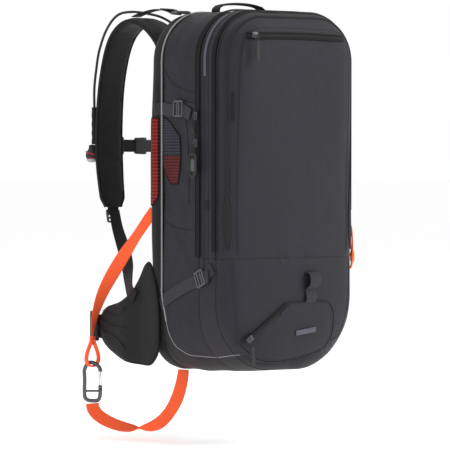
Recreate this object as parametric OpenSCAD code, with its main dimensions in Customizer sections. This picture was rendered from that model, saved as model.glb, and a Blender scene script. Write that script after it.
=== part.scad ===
/* [Pack body] */
// Height of the pack body
pack_h = 540; // [450:5:650]
// Width of the pack at the wearer's back
rear_w = 260; // [216:2:312]
// Radius of the top corners
top_r = 75; // [62:1:90]
// Radius of the bottom corners of the rear band
base_r = 60; // [50:1:72]
// Radius of the bottom corners at the front
front_base_r = 95; // [78:1:110]
// How far the flap's side is set in from the rear width
flap_step = 4; // [3:0.5:6]
// How far the front panel's side is set in from the flap
panel_step = 5; // [4:0.5:8]
// Thickness of the fabric walls
skin = 2.4; // [2:0.1:3]
// Height of the fold where the flap and the front panel open
fold_z = 172; // [143:1:206]

/* [Depths] */
// Thickness of the pads against the wearer's back
pad_t = 8; // [6:0.5:10]
// Depth of the rear band that holds the airbag
band_d = 26; // [24:0.5:32]
// Depth of the main compartment
main_d = 91; // [80:1:110]
// Depth of the main flap
flap_d = 35; // [29:1:42]
// Depth of the front panel's side
panel_d = 27; // [22:1:33]
// Height of the crown on the front panel
crown_d = 9; // [7:0.5:11]
// Gap at the zips between shells that part
zip_gap = 0.4; // [0.3:0.05:0.6]

/* [Airbag system] */
// Outer radius of the blower housing
blower_r = 46; // [38:1:48]
// Length of the blower housing
blower_l = 38; // [34:1:42]
// Wall of the blower housing
blower_wall = 4; // [3.5:0.1:4.8]
// Running gap between the impeller and the blower's wall
impeller_gap = 4; // [3:0.5:5]
// Number of impeller blades
blades = 11; // [7:1:15]
// Radius of the motor
motor_r = 14; // [12:0.5:16]
// Length of the motor
motor_l = 15; // [12:0.5:17]
// Radius of the impeller shaft
shaft_r = 2; // [1.6:0.1:2.4]
// Running clearance of the shaft
shaft_clear = 0.05; // [0.02:0.01:0.08]
// Outer radius of the inflation duct
duct_r = 14; // [12:0.5:16]
// Radius of a supercapacitor
cap_r = 15; // [12.5:0.5:17]
// Length of a supercapacitor
cap_l = 62; // [52:1:74]
// Travel of the power button
button_travel = 1.5; // [1:0.1:2]

/* [Harness] */
// Width of a shoulder strap
strap_w = 52; // [44:1:60]
// Thickness of a shoulder strap
strap_t = 12; // [10:0.5:14]
// Distance of a shoulder strap from the middle
strap_x = 72; // [62:1:84]
// Width of the harness webbing
web_w = 20; // [17:0.5:24]
// Thickness of the webbing
web_t = 1.6; // [1.3:0.1:1.9]
// Height of the sternum strap
sternum_z = 340; // [325:1:355]
// Thickness of a hip wing
wing_t = 10; // [8:0.5:12]
// Reach of a hip wing from its root
wing_reach = 72; // [60:1:86]
// Height of a hip wing at its root
wing_h = 86; // [72:1:100]
// Width of the hip belt webbing
hip_web_w = 38; // [32:1:45]

/* [Release handle and leg strap] */
// Radius of the handle bulb
handle_r = 9.5; // [8:0.5:11]
// Diameter of the release cable
cable_d = 4; // [3.4:0.1:4.8]
// Width of the leg strap webbing
leg_w = 20; // [17:0.5:24]
// Outer width of the carabiner
carabiner_w = 30; // [26:1:34]
// Outer height of the carabiner
carabiner_h = 64; // [56:1:74]
// Radius of the carabiner's rod
rod_r = 3; // [2.5:0.1:3.4]

/* [Hidden] */
$fn = 48;
EPS = 0.01;
FIT = 0.2;
half_w = rear_w / 2;
flap_half = half_w - flap_step;
panel_half = flap_half - panel_step;
y_shell = -pad_t;
y_band = y_shell - band_d;
y_main = y_band - main_d;
y_flap = y_main - flap_d;
y_front = y_flap - panel_d;
flap_top = pack_h - flap_step;
panel_top = flap_top - 2 * panel_step;

// Heights inside the pack, tied to its top
impeller_r = blower_r - blower_wall - impeller_gap;
blower_z = pack_h - 195;
caps_z = blower_z - blower_r - cap_r - 20;
system_floor_z = caps_z - cap_r - 5;
box_z = blower_z + blower_r + 16;
box_h = 58;
box_w = 60;
box_x = duct_r + 22;
duct_z = pack_h - 35;
y_blower = y_band - skin - 4;
y_cover = y_blower - blower_l;
cover_t = 2.2;
y_divider = y_cover - cover_t - 4.5;
button_x = box_x + box_w / 2;
button_z = box_z + box_h - 16;
button_r = 6;
y_box = y_divider + 9;
screw_count = 8;
screw_r = 1.2;

// Side air inlets
inlet_z = blower_z - 95;
inlet_h = 126;
inlet_w = band_d - 8;
vent_z = blower_z - 66;
vent_h = 100;
vent_w = 42;
mesh_t = 1.2;

// Zips and what rides on them
coil_t = 2.5;
slider_l = 13;
slider_w = 9;
slider_t = 4;
zip_x = half_w + FIT + coil_t;
slider_high_z = pack_h - 158;
slider_low_z = pack_h - 198;
y_zip_slider = y_main + 3;
top_zip_z = panel_top - 28;
top_zip_x = 90;
y_crown = y_front - crown_d;
front_slider_z = fold_z + 47;
head_r = 1.6;
pull_gap = 1.4;

// Straps on the sides
upper_strap_z = pack_h - 147;
lower_strap_lo = [y_band + 4, 101];
lower_strap_hi = [y_flap + 14, fold_z - 18];
side_web_x = half_w + 3;
lock_t = 4;

// Lower pocket and ice-axe loop
pocket_t = 5.5;
pocket_gap = 0.3;
pocket_slope = [82, 61];
loop_x = 26;
loop_z = fold_z - 65;
loop_h = 43;
loop_d = 14;

// Haul loop
haul_half = 45;
haul_rise = 16;
haul_t = 3;
haul_y = y_band - 11;

// Shoulder strap centre line, (y, z), tied to the pack's top
strap_line = [[8, pack_h - 96], [20, pack_h - 50], [58, pack_h - 18], [102, pack_h - 10],
    [145, pack_h - 36], [170, pack_h - 98], [180, 360], [178, 300], [170, 244]];
strap_front_y = 180 + strap_t / 2;
strap_end = [170, 244];

// Hip fins and wings
fin_x = half_w + FIT;
fin_t = 5;
fin_reach = 36;
wing_x = fin_x + fin_t + 1;
wing_root_y = fin_reach + 0.6;
wing_z = 12;

// Routes of the webbing and the cable, chosen by hand
lifter_x = half_w - 41;
lifter_route = [[-strap_x - 2, 108, pack_h - 1], [12 - lifter_x, 80, pack_h + 4],
    [8 - lifter_x, 40, pack_h + 7], [3 - lifter_x, 5, pack_h + 3],
    [-lifter_x, -16, pack_h - 3]];
lifter_dirs = [[1, 0, 0], [1, 0, 0], [1, 0, 0.1], [1, 0, 0.3], [1, 0, 0.5]];
lower_route = [[-72, 168, 236], [-76, 155, 212], [-88, 122, 180], [-104, 90, 155],
    [-121, 64, 136], [-140, 34, 118], [-141, 20, 110]];
lower_dirs = [[1, 0, -0.1], [1, -0.2, -0.1], [0.8, -0.5, 0.2], [0.6, -0.7, 0.5],
    [0.3, -0.6, 0.7], [0.1, -0.5, 0.8], [0.1, -0.5, 0.9]];
anchor_route = [[-118, 4, 240], [-122, 16, 225], [-128, 40, 196], [-136, 68, 160],
    [-146, 92, 120], [-152, 104, 88], [-155, 109, 64], [-156, 110, 45]];
anchor_dirs = [[0, 0.8, 0.6], [0, 0.8, 0.6], [0, 0.8, 0.6], [-0.6, 0.6, 0.5], [-0.95, 0.1, 0.3],
    [-0.95, -0.3, 0.1], [-0.8, -0.6, 0], [-0.6, -0.8, 0]];
leg_route = [[-156, 110, -56], [-156, 108, -64], [-152, 100, -74], [-142, 84, -84],
    [-128, 62, -91], [-112, 40, -92], [-97, 20, -84], [-86, 6, -66], [-79, -4, -44],
    [-75, -10, -20], [-73, -12, -1]];
leg_dirs = [[0.8, -0.6, 0], [0.8, -0.6, 0], [0.8, -0.6, 0], [0.8, -0.6, 0.1], [0.8, -0.6, 0.1],
    [0.8, -0.6, 0], [0.8, -0.6, 0], [0.9, -0.4, 0], [0.9, -0.4, 0], [1, -0.2, 0], [1, 0, 0]];
handle_x = 3 - strap_x - strap_w / 2;
handle_y = strap_front_y + 1 + handle_r;
handle_z = 328;
cable_route = [[handle_x, 190, 400], [handle_x, 190, 430], [handle_x + 1, 186, pack_h - 80],
    [handle_x + 3, 181, pack_h - 52], [handle_x + 6, 166, pack_h - 20], [-84, 144, pack_h + 2],
    [-74, 120, pack_h + 7], [-60, 92, pack_h + 3], [-54, 62, pack_h - 5],
    [-46, 34, pack_h - 22], [-42, 14, pack_h - 40], [-42, 0, pack_h - 54],
    [-42, -7, pack_h - 60]];

// Carabiner, hung at the end of the anchor strap in a plane turned about the vertical
hook_at = [-156, 110, 0];
hook_turn = -38;
hook_top = 9;
sewn_turn = 90;
sewn_w = 26;
sewn_h = 44;
sewn_t = 3.2;
sewn_deep = 8;

// Outline of the pack seen from the front, standing on z = 0
module arch(w, h, rt, rb) {
    translate([-w / 2, rb]) square([w, h - rt - rb]);
    translate([rt - w / 2, h - rt]) square([w - 2 * rt, rt]);
    translate([rb - w / 2, 0]) square([w - 2 * rb, rb]);
    for (s = [-1, 1]) {
        translate([s * (w / 2 - rt), h - rt]) circle(rt);
        translate([s * (w / 2 - rb), rb]) circle(rb);
    }
}

// The rear outline set in by a given amount
module rear_arch(inset = 0) {
    translate([0, inset])
        arch(rear_w - 2 * inset, pack_h - 2 * inset, top_r - inset, base_r - inset);
}

// The front outline, for a half width and a top, set in by a given amount
module front_arch(half, top, inset = 0) {
    translate([0, inset])
        arch(2 * (half - inset), top - 2 * inset, top_r - inset, front_base_r - inset);
}

// Keeps what lies over a height, or under it
module over(z) {
    intersection() {
        children();
        translate([-rear_w, z]) square([2 * rear_w, 2 * pack_h]);
    }
}
module under(z) {
    intersection() {
        children();
        translate([-rear_w, -1]) square([2 * rear_w, z + 1]);
    }
}

// Turns a front outline into a slab from y to y - d, and a side outline into one from x
module slab(y, d) {
    translate([0, y, 0]) rotate([90, 0, 0]) linear_extrude(d) children();
}
module side_slab(x, t) {
    translate([x, 0, 0]) rotate([90, 0, 90]) linear_extrude(t) children();
}
module both_sides() {
    children();
    mirror([1, 0, 0]) children();
}

// A cylinder along Y, from y to y - l
module rod_y(x, y, z, r, l) {
    translate([x, y, z]) rotate([90, 0, 0]) cylinder(h = l, r = r);
}

// Smooth line through points
function mix3(a, b, c, d, t) =
    0.5 * (2 * b + (c - a) * t + (2 * a - 5 * b + 4 * c - d) * t * t
    + (3 * b - a - 3 * c + d) * t * t * t);
function at(p, i) = p[max(0, min(len(p) - 1, i))];
function smooth(p, n) = concat(
    [for (i = [0 : len(p) - 2]) for (j = [0 : n - 1])
        mix3(at(p, i - 1), at(p, i), at(p, i + 1), at(p, i + 2), j / n)],
    [p[len(p) - 1]]);
function unit(v) = v / norm(v);
function heading(p, i) = unit(at(p, i + 1) - at(p, i - 1));
function across(p, d, i) = unit(d[i] - (d[i] * heading(p, i)) * heading(p, i));

// Side-on outline of a band of even thickness along a line in (y, z)
function offset_line(p, e) =
    [for (i = [0 : len(p) - 1]) let (h = heading(p, i)) p[i] + e * [-h[1], h[0]]];
function reversed(p) = [for (i = [len(p) - 1 : -1 : 0]) p[i]];
module band(p, t) {
    polygon(concat(offset_line(p, t / 2), reversed(offset_line(p, -t / 2))));
}

// A section swept along points: rings of m corners, closed by a cap at each end. The two
// faces of a flat section are split on the same diagonal, so a twist keeps its thickness.
module swept(rings) {
    m = len(rings[0]);
    n = len(rings);
    sides = [for (i = [0 : n - 2]) for (k = [0 : m - 1]) let (a = i * m, b = (k + 1) % m)
        each k < m / 2 ? [[a + k, a + m + k, a + m + b], [a + k, a + m + b, a + b]]
            : [[a + k, a + m + k, a + b], [a + m + k, a + m + b, a + b]]];
    caps = concat([for (k = [1 : m - 2]) [0, k, k + 1]],
        [for (k = [1 : m - 2]) let (e = (n - 1) * m) [e, e + k + 1, e + k]]);
    polyhedron(points = [for (r = rings) each r], faces = concat(sides, caps));
}
module webbing(route, dirs, w, t, n = 3) {
    p = smooth(route, n);
    d = smooth(dirs, n);
    swept([for (i = [0 : len(p) - 1])
        let (a = across(p, d, i) * w / 2, b = cross(heading(p, i), across(p, d, i)) * t / 2,
            c = a * (1 - 0.8 / w), e = b / 4)
        [p[i] - c - b, p[i] + c - b, p[i] + a - e, p[i] + a + e, p[i] + c + b, p[i] - c + b,
            p[i] - a + e, p[i] - a - e]]);
}
module cable(route, d, n = 3, sides = 8) {
    p = smooth(route, n);
    swept([for (i = [0 : len(p) - 1])
        let (v = unit(cross(heading(p, i), [1, 0, 0])), u = cross(v, heading(p, i)))
        [for (k = [0 : sides - 1])
            p[i] + d / 2 * (cos(360 * k / sides) * u + sin(360 * k / sides) * v)]]);
}

// ---- Rear of the pack ----
module rear_shell() {
    color([0.09, 0.09, 0.1]) difference() {
        slab(y_shell, band_d) rear_arch();
        slab(y_shell - skin, band_d) rear_arch(skin);
        both_sides() translate([half_w - 2 * skin, y_shell - 4 - inlet_w, inlet_z])
            cube([4 * skin, inlet_w, inlet_h]);
        rod_y(cable_entry[0], y_shell + 1, cable_entry[2], cable_d / 2 + FIT, skin + 2);
    }
}
cable_entry = cable_route[len(cable_route) - 1];

module back_pads() {
    color([0.13, 0.13, 0.14]) both_sides()
        slab(0, pad_t - FIT) translate([62, 130]) pad_outline(66, pack_h - 240);
}
module pad_outline(w, h) {
    r = 22;
    for (x = [r - w / 2, w / 2 - r]) for (z = [r, h - r]) translate([x, z]) circle(r);
    translate([-w / 2, r]) square([w, h - 2 * r]);
    translate([r - w / 2, 0]) square([w - 2 * r, h]);
}
module lumbar_pad() {
    color([0.13, 0.13, 0.14]) slab(0, pad_t - FIT) translate([0, 18]) pad_outline(196, 100);
}

module frame_sheet() {
    color([0.2, 0.2, 0.22]) slab(y_shell - skin - FIT, 1.4) translate([0, 20])
        arch(rear_w - 60, pack_h - 60, top_r - 20, base_r - 20);
}
module frame_stays() {
    color([0.72, 0.73, 0.75]) both_sides()
        translate([54, y_shell - skin - 5, 45]) cube([12, 2.8, pack_h - 115]);
}

module airbag() {
    color([0.85, 0.32, 0.12]) slab(y_shell - skin - 5.4, band_d - skin - 5.8) over(70)
        difference() {
            rear_arch(5);
            rear_arch(45);
        }
}

module piping() {
    color([0.45, 0.44, 0.44]) slab(y_band + 1.2, 2.6) difference() {
        rear_arch(-1.6);
        rear_arch(-0.05);
    }
}

// ---- Main body ----
module vent_outline(grow = 0) {
    w = vent_w / 2 + grow;
    h = vent_h / 2 + grow;
    translate([y_band - 3 - vent_w / 2, vent_z + vent_h / 2])
        polygon([[-w, -h], [w * 0.1, -h], [w, -h * 0.4], [w, h], [-w * 0.3, h * 0.9],
            [-w, h * 0.4]]);
}
module main_shell() {
    color([0.25, 0.24, 0.27]) difference() {
        slab(y_band - FIT, main_d - FIT) rear_arch();
        slab(y_band - FIT - skin, main_d) rear_arch(skin);
        both_sides() side_slab(half_w - 2 * skin, 4 * skin) vent_outline();
        rod_y(0, y_band + 1, duct_z, duct_r + FIT, skin + 4);
    }
}

module lower_shell() {
    color([0.24, 0.23, 0.26]) difference() {
        slab(y_main, flap_d + panel_d) under(fold_z) front_arch(flap_half, pack_h);
        slab(y_main + 1, flap_d + panel_d + 1 - skin) under(fold_z + 1)
            front_arch(flap_half, pack_h, skin);
    }
}

module inlet_meshes() {
    color([0.62, 0.16, 0.13]) both_sides()
        translate([half_w - skin, y_shell - 4 - inlet_w + FIT, inlet_z + FIT])
            cube([mesh_t, inlet_w - 2 * FIT, inlet_h - 2 * FIT]);
}
module vent_meshes() {
    color([0.3, 0.27, 0.34]) both_sides()
        side_slab(half_w - skin + 0.4, mesh_t) vent_outline(-3 * FIT);
}

module system_divider() {
    color([0.35, 0.35, 0.38]) difference() {
        union() {
            slab(y_divider, 1.6) over(system_floor_z) rear_arch(skin + FIT);
            slab(y_band - FIT - skin - FIT, y_band - y_divider - 2 * FIT - skin)
                over(system_floor_z) under(system_floor_z + 1.6) rear_arch(skin + FIT);
        }
        rod_y(button_x, y_divider + 1, button_z, button_r + 6, 4);
    }
}

// ---- Airbag system ----
module blower_housing() {
    color([0.16, 0.16, 0.17]) difference() {
        union() {
            rod_y(0, y_blower, blower_z, blower_r, blower_l);
            translate([0, y_blower - blower_l / 2, blower_z])
                cylinder(h = blower_r + 8, r = duct_r);
        }
        rod_y(0, y_blower - 3, blower_z, blower_r - blower_wall, blower_l);
        translate([0, y_blower - blower_l / 2, blower_z])
            cylinder(h = blower_r + 9, r = duct_r - 2);
        for (i = [0 : screw_count - 1]) screw_place(i)
            rod_y(0, y_cover + 9, 0, screw_r + 0.05, 12);
    }
}
module screw_place(i) {
    a = 360 * (i + 0.5) / screw_count;
    r = blower_r - blower_wall / 2;
    translate([r * cos(a), 0, blower_z + r * sin(a)]) children();
}
module blower_cover() {
    color([0.2, 0.2, 0.21]) difference() {
        rod_y(0, y_cover - 0.05, blower_z, blower_r, cover_t);
        rod_y(0, y_cover + 1, blower_z, impeller_r / 2, cover_t + 2);
        for (i = [0 : screw_count - 1]) screw_place(i)
            rod_y(0, y_cover + 1, 0, screw_r + 0.05, cover_t + 2);
    }
}
module cover_screws() {
    color([0.7, 0.7, 0.72]) for (i = [0 : screw_count - 1]) screw_place(i) {
        rod_y(0, y_cover + 8, 0, screw_r, 8 + cover_t + 0.1);
        rod_y(0, y_cover - cover_t - 0.1, 0, 2.2, 1.4);
    }
}
module motor() {
    color([0.6, 0.6, 0.62]) difference() {
        rod_y(0, y_blower - 3.1, blower_z, motor_r, motor_l);
        rod_y(0, y_blower - 6, blower_z, shaft_r + shaft_clear, motor_l + 5);
    }
}
module impeller() {
    y_hub = y_blower - 3.1 - motor_l - 1;
    blade_l = blower_l - motor_l - 10;
    color([0.8, 0.8, 0.82]) {
        difference() {
            rod_y(0, y_hub, blower_z, impeller_r, 2);
            rod_y(0, y_hub + 1, blower_z, shaft_r - EPS, 4);
        }
        rod_y(0, y_blower - 7, blower_z, shaft_r, blower_l - 12);
        translate([0, y_hub - 2 + EPS, blower_z]) for (i = [0 : blades - 1])
            rotate([0, 360 * i / blades, 0]) translate([impeller_r * 0.5, -blade_l, -0.8])
                rotate([0, -25, 0]) cube([impeller_r * 0.45, blade_l, 1.6]);
    }
}
module inflation_duct() {
    x = duct_r - 2;
    z0 = blower_z + blower_r + 8 + FIT;
    y = y_blower - blower_l / 2;
    y_end = y_band + FIT + 0.2;
    color([0.1, 0.1, 0.11]) difference() {
        union() {
            translate([0, y, z0]) cylinder(h = duct_z - z0, r = duct_r);
            translate([0, y, duct_z]) sphere(duct_r);
            rod_y(0, y_end, duct_z, duct_r, y_end - y);
        }
        translate([0, y, z0 - 1]) cylinder(h = duct_z - z0 + 1, r = x);
        translate([0, y, duct_z]) sphere(x);
        rod_y(0, y_end + 1, duct_z, x, y_end - y + 1);
    }
}
module supercapacitors() {
    color([0.15, 0.25, 0.5]) for (s = [-1, 1])
        translate([s * 8 - (s < 0 ? cap_l : 0), y_blower - 17, caps_z])
            rotate([0, 90, 0]) cylinder(h = cap_l, r = cap_r);
}
module battery_pack() {
    color([0.2, 0.35, 0.25]) translate([-box_x - box_w, y_box, box_z])
        cube([box_w, y_blower - y_box, box_h]);
}
module control_unit() {
    color([0.14, 0.14, 0.15]) difference() {
        translate([box_x, y_box, box_z]) cube([box_w, y_blower - y_box, box_h]);
        rod_y(button_x, y_box + 5, button_z, button_r + 0.3, 6);
    }
}
module power_button() {
    color([0.85, 0.25, 0.1])
        rod_y(button_x, y_box + 5 - button_travel - 0.3, button_z, button_r, 6);
}

// ---- Main zip ----
module zip_coil(half, top, y, w, arch_top_r = top_r) {
    slab(y, w) over(fold_z + 1) difference() {
        translate([0, -coil_t - FIT]) arch(2 * (half + FIT + coil_t), top + 2 * (coil_t + FIT),
            arch_top_r + FIT + coil_t, base_r);
        translate([0, -FIT]) arch(2 * (half + FIT), top + 2 * FIT, arch_top_r + FIT, base_r);
    }
}
module main_zip() {
    color([0.06, 0.06, 0.07]) zip_coil(half_w, pack_h, y_main + 6, 5);
}
module slider_body(x, y, z) {
    translate([x, y, z]) difference() {
        translate([-slider_t, -slider_w / 2, -slider_l / 2]) cube([slider_t, slider_w, slider_l]);
        translate([-slider_t - 1, -slider_w / 4, -slider_l / 2 - 1])
            cube([2.2, slider_w / 2, slider_l / 2]);
    }
}
module main_slider_upper() {
    color([0.12, 0.12, 0.13]) slider_body(-zip_x - 0.5, y_zip_slider, slider_high_z);
}
module main_slider_lower() {
    color([0.12, 0.12, 0.13]) slider_body(-zip_x - 0.5, y_zip_slider, slider_low_z);
}
pull_x = -zip_x - 0.5 - slider_t - pull_gap;

// Outline of a pull that hangs from the origin: a narrow head, then a body with a window
module pull_outline(w, l) {
    difference() {
        union() {
            circle(head_r);
            translate([-2 * head_r, -head_r]) square([2 * head_r, 2 * head_r]);
            translate([-l, -w / 2]) square([l - 2 * head_r, w]);
            translate([-l, 0]) circle(w / 2);
        }
        translate([-l * 0.85, -w / 4]) square([l * 0.6, w / 2]);
    }
}
// A flat pull against a side, hanging from (x, y, z)
module side_pull(x, y, z, w, l, t) {
    translate([x, y, z]) rotate([0, -90, 0]) linear_extrude(t) pull_outline(w, l);
}
// A flat pull against the front, hanging from (x, y, z)
module front_pull(x, y, z, w, l, t) {
    translate([x, y, z]) rotate([90, 90, 0]) linear_extrude(t)
        mirror([1, 0]) pull_outline(w, l);
}
module main_pull_upper() {
    color([0.1, 0.1, 0.11]) side_pull(pull_x, y_zip_slider, slider_high_z - 2, 6, 20, 2.5);
}
module main_pull_lower() {
    color([0.1, 0.1, 0.11]) side_pull(pull_x, y_zip_slider, slider_low_z - 2, 14, 42, 3);
}

// ---- Main flap, with the front zip on its edge ----
module flap_shell() {
    floor_z = fold_z + zip_gap;
    color([0.24, 0.23, 0.26]) difference() {
        slab(y_main - zip_gap, flap_d - zip_gap) over(floor_z) front_arch(flap_half, flap_top);
        slab(y_main - zip_gap - skin, flap_d) over(floor_z + skin)
            front_arch(flap_half, flap_top, skin);
    }
}
module front_zip() {
    color([0.06, 0.06, 0.07]) slab(y_flap + 5, 4) over(fold_z + 6) difference() {
        front_arch(flap_half + FIT + coil_t, flap_top + coil_t + FIT);
        front_arch(flap_half + FIT, flap_top + FIT);
    }
}
front_slider_x = flap_half + FIT + coil_t + 0.5 + slider_t;
module front_slider() {
    color([0.1, 0.1, 0.11]) translate([0, y_flap + 3, 0])
        mirror([1, 0, 0]) slider_body(slider_t - front_slider_x, 0, front_slider_z);
}
module front_pulls() {
    x = -front_slider_x - pull_gap;
    color([1, 0.4, 0.1]) mirror([1, 0, 0]) {
        side_pull(x, y_flap + 3, front_slider_z - 2, 6, 44, 2.5);
        translate([x - 2.5, y_flap, front_slider_z - 64]) cube([2.5, 6, 14]);
    }
}

// ---- Front panel ----
module front_panel() {
    base = fold_z + 4;
    y0 = y_flap - zip_gap;
    color([0.25, 0.24, 0.27]) difference() {
        hull() {
            slab(y0, panel_d - zip_gap - 1, $fn = 32) over(base)
                front_arch(panel_half, panel_top, $fn = 32);
            slab(y_front, crown_d, $fn = 32) over(base + 18)
                front_arch(panel_half, panel_top, 18, $fn = 32);
        }
        hull() {
            slab(y0 + 1, panel_d - 1, $fn = 32) over(base + skin)
                front_arch(panel_half, panel_top, skin, $fn = 32);
            slab(y_front, crown_d - skin, $fn = 32) over(base + 18 + skin)
                front_arch(panel_half, panel_top, 18 + skin, $fn = 32);
        }
    }
}
module top_pocket_zip() {
    color([0.05, 0.05, 0.06]) translate([-top_zip_x, y_crown - 1.7, top_zip_z])
        cube([2 * top_zip_x + 8, 1.5, 4]);
}
module top_slider() {
    color([0.12, 0.12, 0.13]) translate([-top_zip_x + 2, y_crown - 5, top_zip_z - 2])
        cube([12, 3, 8]);
}
module top_pull() {
    color([0.12, 0.12, 0.13])
        front_pull(-top_zip_x + 8, y_crown - 5 - pull_gap, top_zip_z + 2, 7, 36, 2.5);
}

// ---- Lower pocket and its zip ----
module lower_pocket() {
    color([0.23, 0.22, 0.25]) slab(y_front - pocket_gap, pocket_t)
        polygon([[-96, 46], [-78, 30], [-60, 20], [-27, 17], [15, 22], [57, 33], [74, 54],
            [76, 80], [70, 100], [56, 107], [-18, 106]]);
}
pocket_angle = atan2(pocket_slope[1], pocket_slope[0]);
module pocket_slider() {
    color([0.12, 0.12, 0.13]) translate([-92, y_front - pocket_gap - pocket_t - 0.5, 52])
        rotate([0, -pocket_angle, 0]) translate([-2, -3.5, -4]) cube([12, 3.5, 8]);
}
module pocket_pull() {
    color([0.12, 0.12, 0.13])
        front_pull(-88, y_front - pocket_gap - pocket_t - 4 - pull_gap, 52, 6, 34, 2.5);
}

// ---- Loops ----
module haul_loop() {
    r = (haul_half * haul_half + haul_rise * haul_rise) / (2 * haul_rise);
    color([0.08, 0.08, 0.09]) translate([0, haul_y, 0]) rotate([90, 0, 0])
        linear_extrude(web_w) intersection() {
            translate([0, pack_h + haul_rise - r]) difference() {
                circle(r, $fn = 96);
                circle(r - haul_t, $fn = 96);
            }
            translate([-haul_half, pack_h + FIT]) square([2 * haul_half, haul_rise]);
        }
}
module slot_outline(w, h) {
    translate([0, w / 2]) circle(w / 2);
    translate([0, h - w / 2]) circle(w / 2);
    translate([-w / 2, w / 2]) square([w, h - w]);
}
module ice_axe_loop() {
    color([0.15, 0.15, 0.16]) side_slab(loop_x - web_w / 2, web_w)
        translate([y_front - 0.4 - loop_d / 2, loop_z]) difference() {
            slot_outline(loop_d, loop_h);
            translate([0, web_t]) slot_outline(loop_d - 2 * web_t, loop_h - 2 * web_t);
        }
}

// ---- Side compression ----
// A ladder-lock lying in the Y-Z plane, with its two slots
module ladder_lock(w, l, t) {
    difference() {
        translate([0, -l / 2, -w / 2 - 3]) cube([t, l, w + 6]);
        for (y = [-l / 4, l / 4]) translate([-1, y - l / 9, -w / 2]) cube([t + 2, l / 4.5, w]);
    }
}
module side_strap(a, b, x) {
    run = b - a;
    translate([x, a[0], a[1]]) rotate([-atan2(run[1], -run[0]), 0, 0])
        translate([0, -norm(run), -web_w / 2]) cube([web_t, norm(run), web_w]);
}
module compression_straps() {
    color([0.24, 0.24, 0.26]) both_sides() {
        side_strap([y_band + 14, upper_strap_z], [y_main + 8, upper_strap_z], side_web_x);
        side_strap(lower_strap_lo, lower_strap_hi, side_web_x);
    }
}
module compression_locks() {
    run = lower_strap_hi - lower_strap_lo;
    mid = lower_strap_lo + 0.66 * run;
    x = side_web_x + web_t + FIT;
    color([0.2, 0.2, 0.21]) both_sides() {
        translate([x, y_band - 42, upper_strap_z]) ladder_lock(web_w, 18, lock_t);
        translate([x, mid[0], mid[1]]) rotate([-atan2(run[1], -run[0]), 0, 0])
            ladder_lock(web_w, 22, lock_t);
    }
}

// ---- Harness ----
module shoulder_straps() {
    color([0.1, 0.1, 0.11]) both_sides()
        side_slab(strap_x - strap_w / 2, strap_w) band(smooth(strap_line, 3), strap_t);
}
module load_lifters() {
    color([0.14, 0.14, 0.15]) both_sides() webbing(lifter_route, lifter_dirs, web_w, web_t);
}
module lifter_locks() {
    p = lifter_route[len(lifter_route) - 1];
    color([0.2, 0.2, 0.21]) both_sides() translate([p[0] - 4, p[1] - 12, p[2] - 1])
        rotate([0, -25, 0]) rotate([0, 90, 0]) translate([-4, 0, 3]) ladder_lock(web_w, 20, lock_t);
}
module strap_locks() {
    color([0.12, 0.12, 0.13]) both_sides()
        translate([strap_x, strap_end[0], strap_end[1] - 14]) rotate([0, 0, 90])
            rotate([90, 0, 0]) ladder_lock(web_w, 16, lock_t);
}
module strap_webbing() {
    color([0.09, 0.09, 0.1]) both_sides() webbing(lower_route, lower_dirs, web_w, web_t);
}
module sternum_strap() {
    y = strap_front_y + 0.8;
    color([0.1, 0.1, 0.11]) {
        translate([-strap_x, y + 1, sternum_z - web_w / 2]) cube([2 * strap_x, web_t, web_w]);
        both_sides() translate([strap_x - strap_w / 2 - 6, y, sternum_z - 14])
            cube([18, 4.5, 28]);
        translate([-18, y - 2, sternum_z - 14]) cube([36, 8, 28]);
    }
}
module handle_sleeve() {
    color([0.12, 0.12, 0.13]) {
        difference() {
            translate([handle_x, strap_front_y + 4.5, handle_z + 14]) cylinder(h = 58, r = 4);
            translate([handle_x, strap_front_y + 4.5, handle_z + 13])
                cylinder(h = 60, r = cable_d / 2 + 0.1);
        }
    }
}
module release_handle() {
    color([0.1, 0.1, 0.11]) translate([handle_x, handle_y, handle_z]) {
        sphere(handle_r);
        translate([0, 0, -10]) cylinder(h = 10, r = handle_r - 1.5);
        cylinder(h = 12.5, r = 5);
    }
}
module release_cable() {
    color([0.06, 0.06, 0.07]) cable(cable_route, cable_d);
}

// ---- Hip belt ----
module hip_fins() {
    color([0.1, 0.1, 0.11]) both_sides() side_slab(fin_x, fin_t)
        polygon([[y_band + 4, 30], [y_shell, 8], [fin_reach, 8], [fin_reach, 116], [4, 168],
            [y_shell, 168], [y_band + 4, 90]]);
}
module wing_outline() {
    hull() {
        translate([wing_root_y, wing_z]) square([10, wing_h]);
        translate([wing_root_y + wing_reach - 30, wing_z + wing_h * 0.58])
            circle(wing_h * 0.36, $fn = 32);
    }
}
module hip_wing(s) {
    side_slab(s < 0 ? -wing_x - wing_t : wing_x, wing_t) wing_outline();
}
module hip_wing_left() {
    color([0.1, 0.1, 0.11]) hip_wing(-1);
}
module hip_wing_right() {
    color([0.1, 0.1, 0.11]) hip_wing(1);
}
module hip_buckle(s, width) {
    y = wing_root_y + wing_reach + 1;
    z = wing_z + wing_h * 0.58;
    x = s * (wing_x + wing_t / 2);
    translate([x - web_t / 2, y + FIT, z - hip_web_w / 2]) cube([web_t, 8, hip_web_w]);
    translate([x - 5, y + 8, z - width / 2]) cube([10, 16, width]);
}
module hip_buckle_left() {
    color([0.13, 0.13, 0.14]) hip_buckle(-1, hip_web_w + 8);
}
module hip_buckle_right() {
    color([0.13, 0.13, 0.14]) hip_buckle(1, hip_web_w + 2);
}

// ---- Leg strap ----
module anchor_strap() {
    color([1, 0.38, 0.19]) {
        webbing(anchor_route, anchor_dirs, leg_w, web_t, 4);
        translate(hook_at) rotate([0, 0, hook_turn + sewn_turn]) rotate([90, 0, 0])
            translate([0, hook_top - 2 * rod_r - sewn_t - 1.6, -sewn_deep / 2])
                linear_extrude(sewn_deep) difference() {
                    sewn_outline(0);
                    sewn_outline(sewn_t);
                }
    }
}
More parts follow.
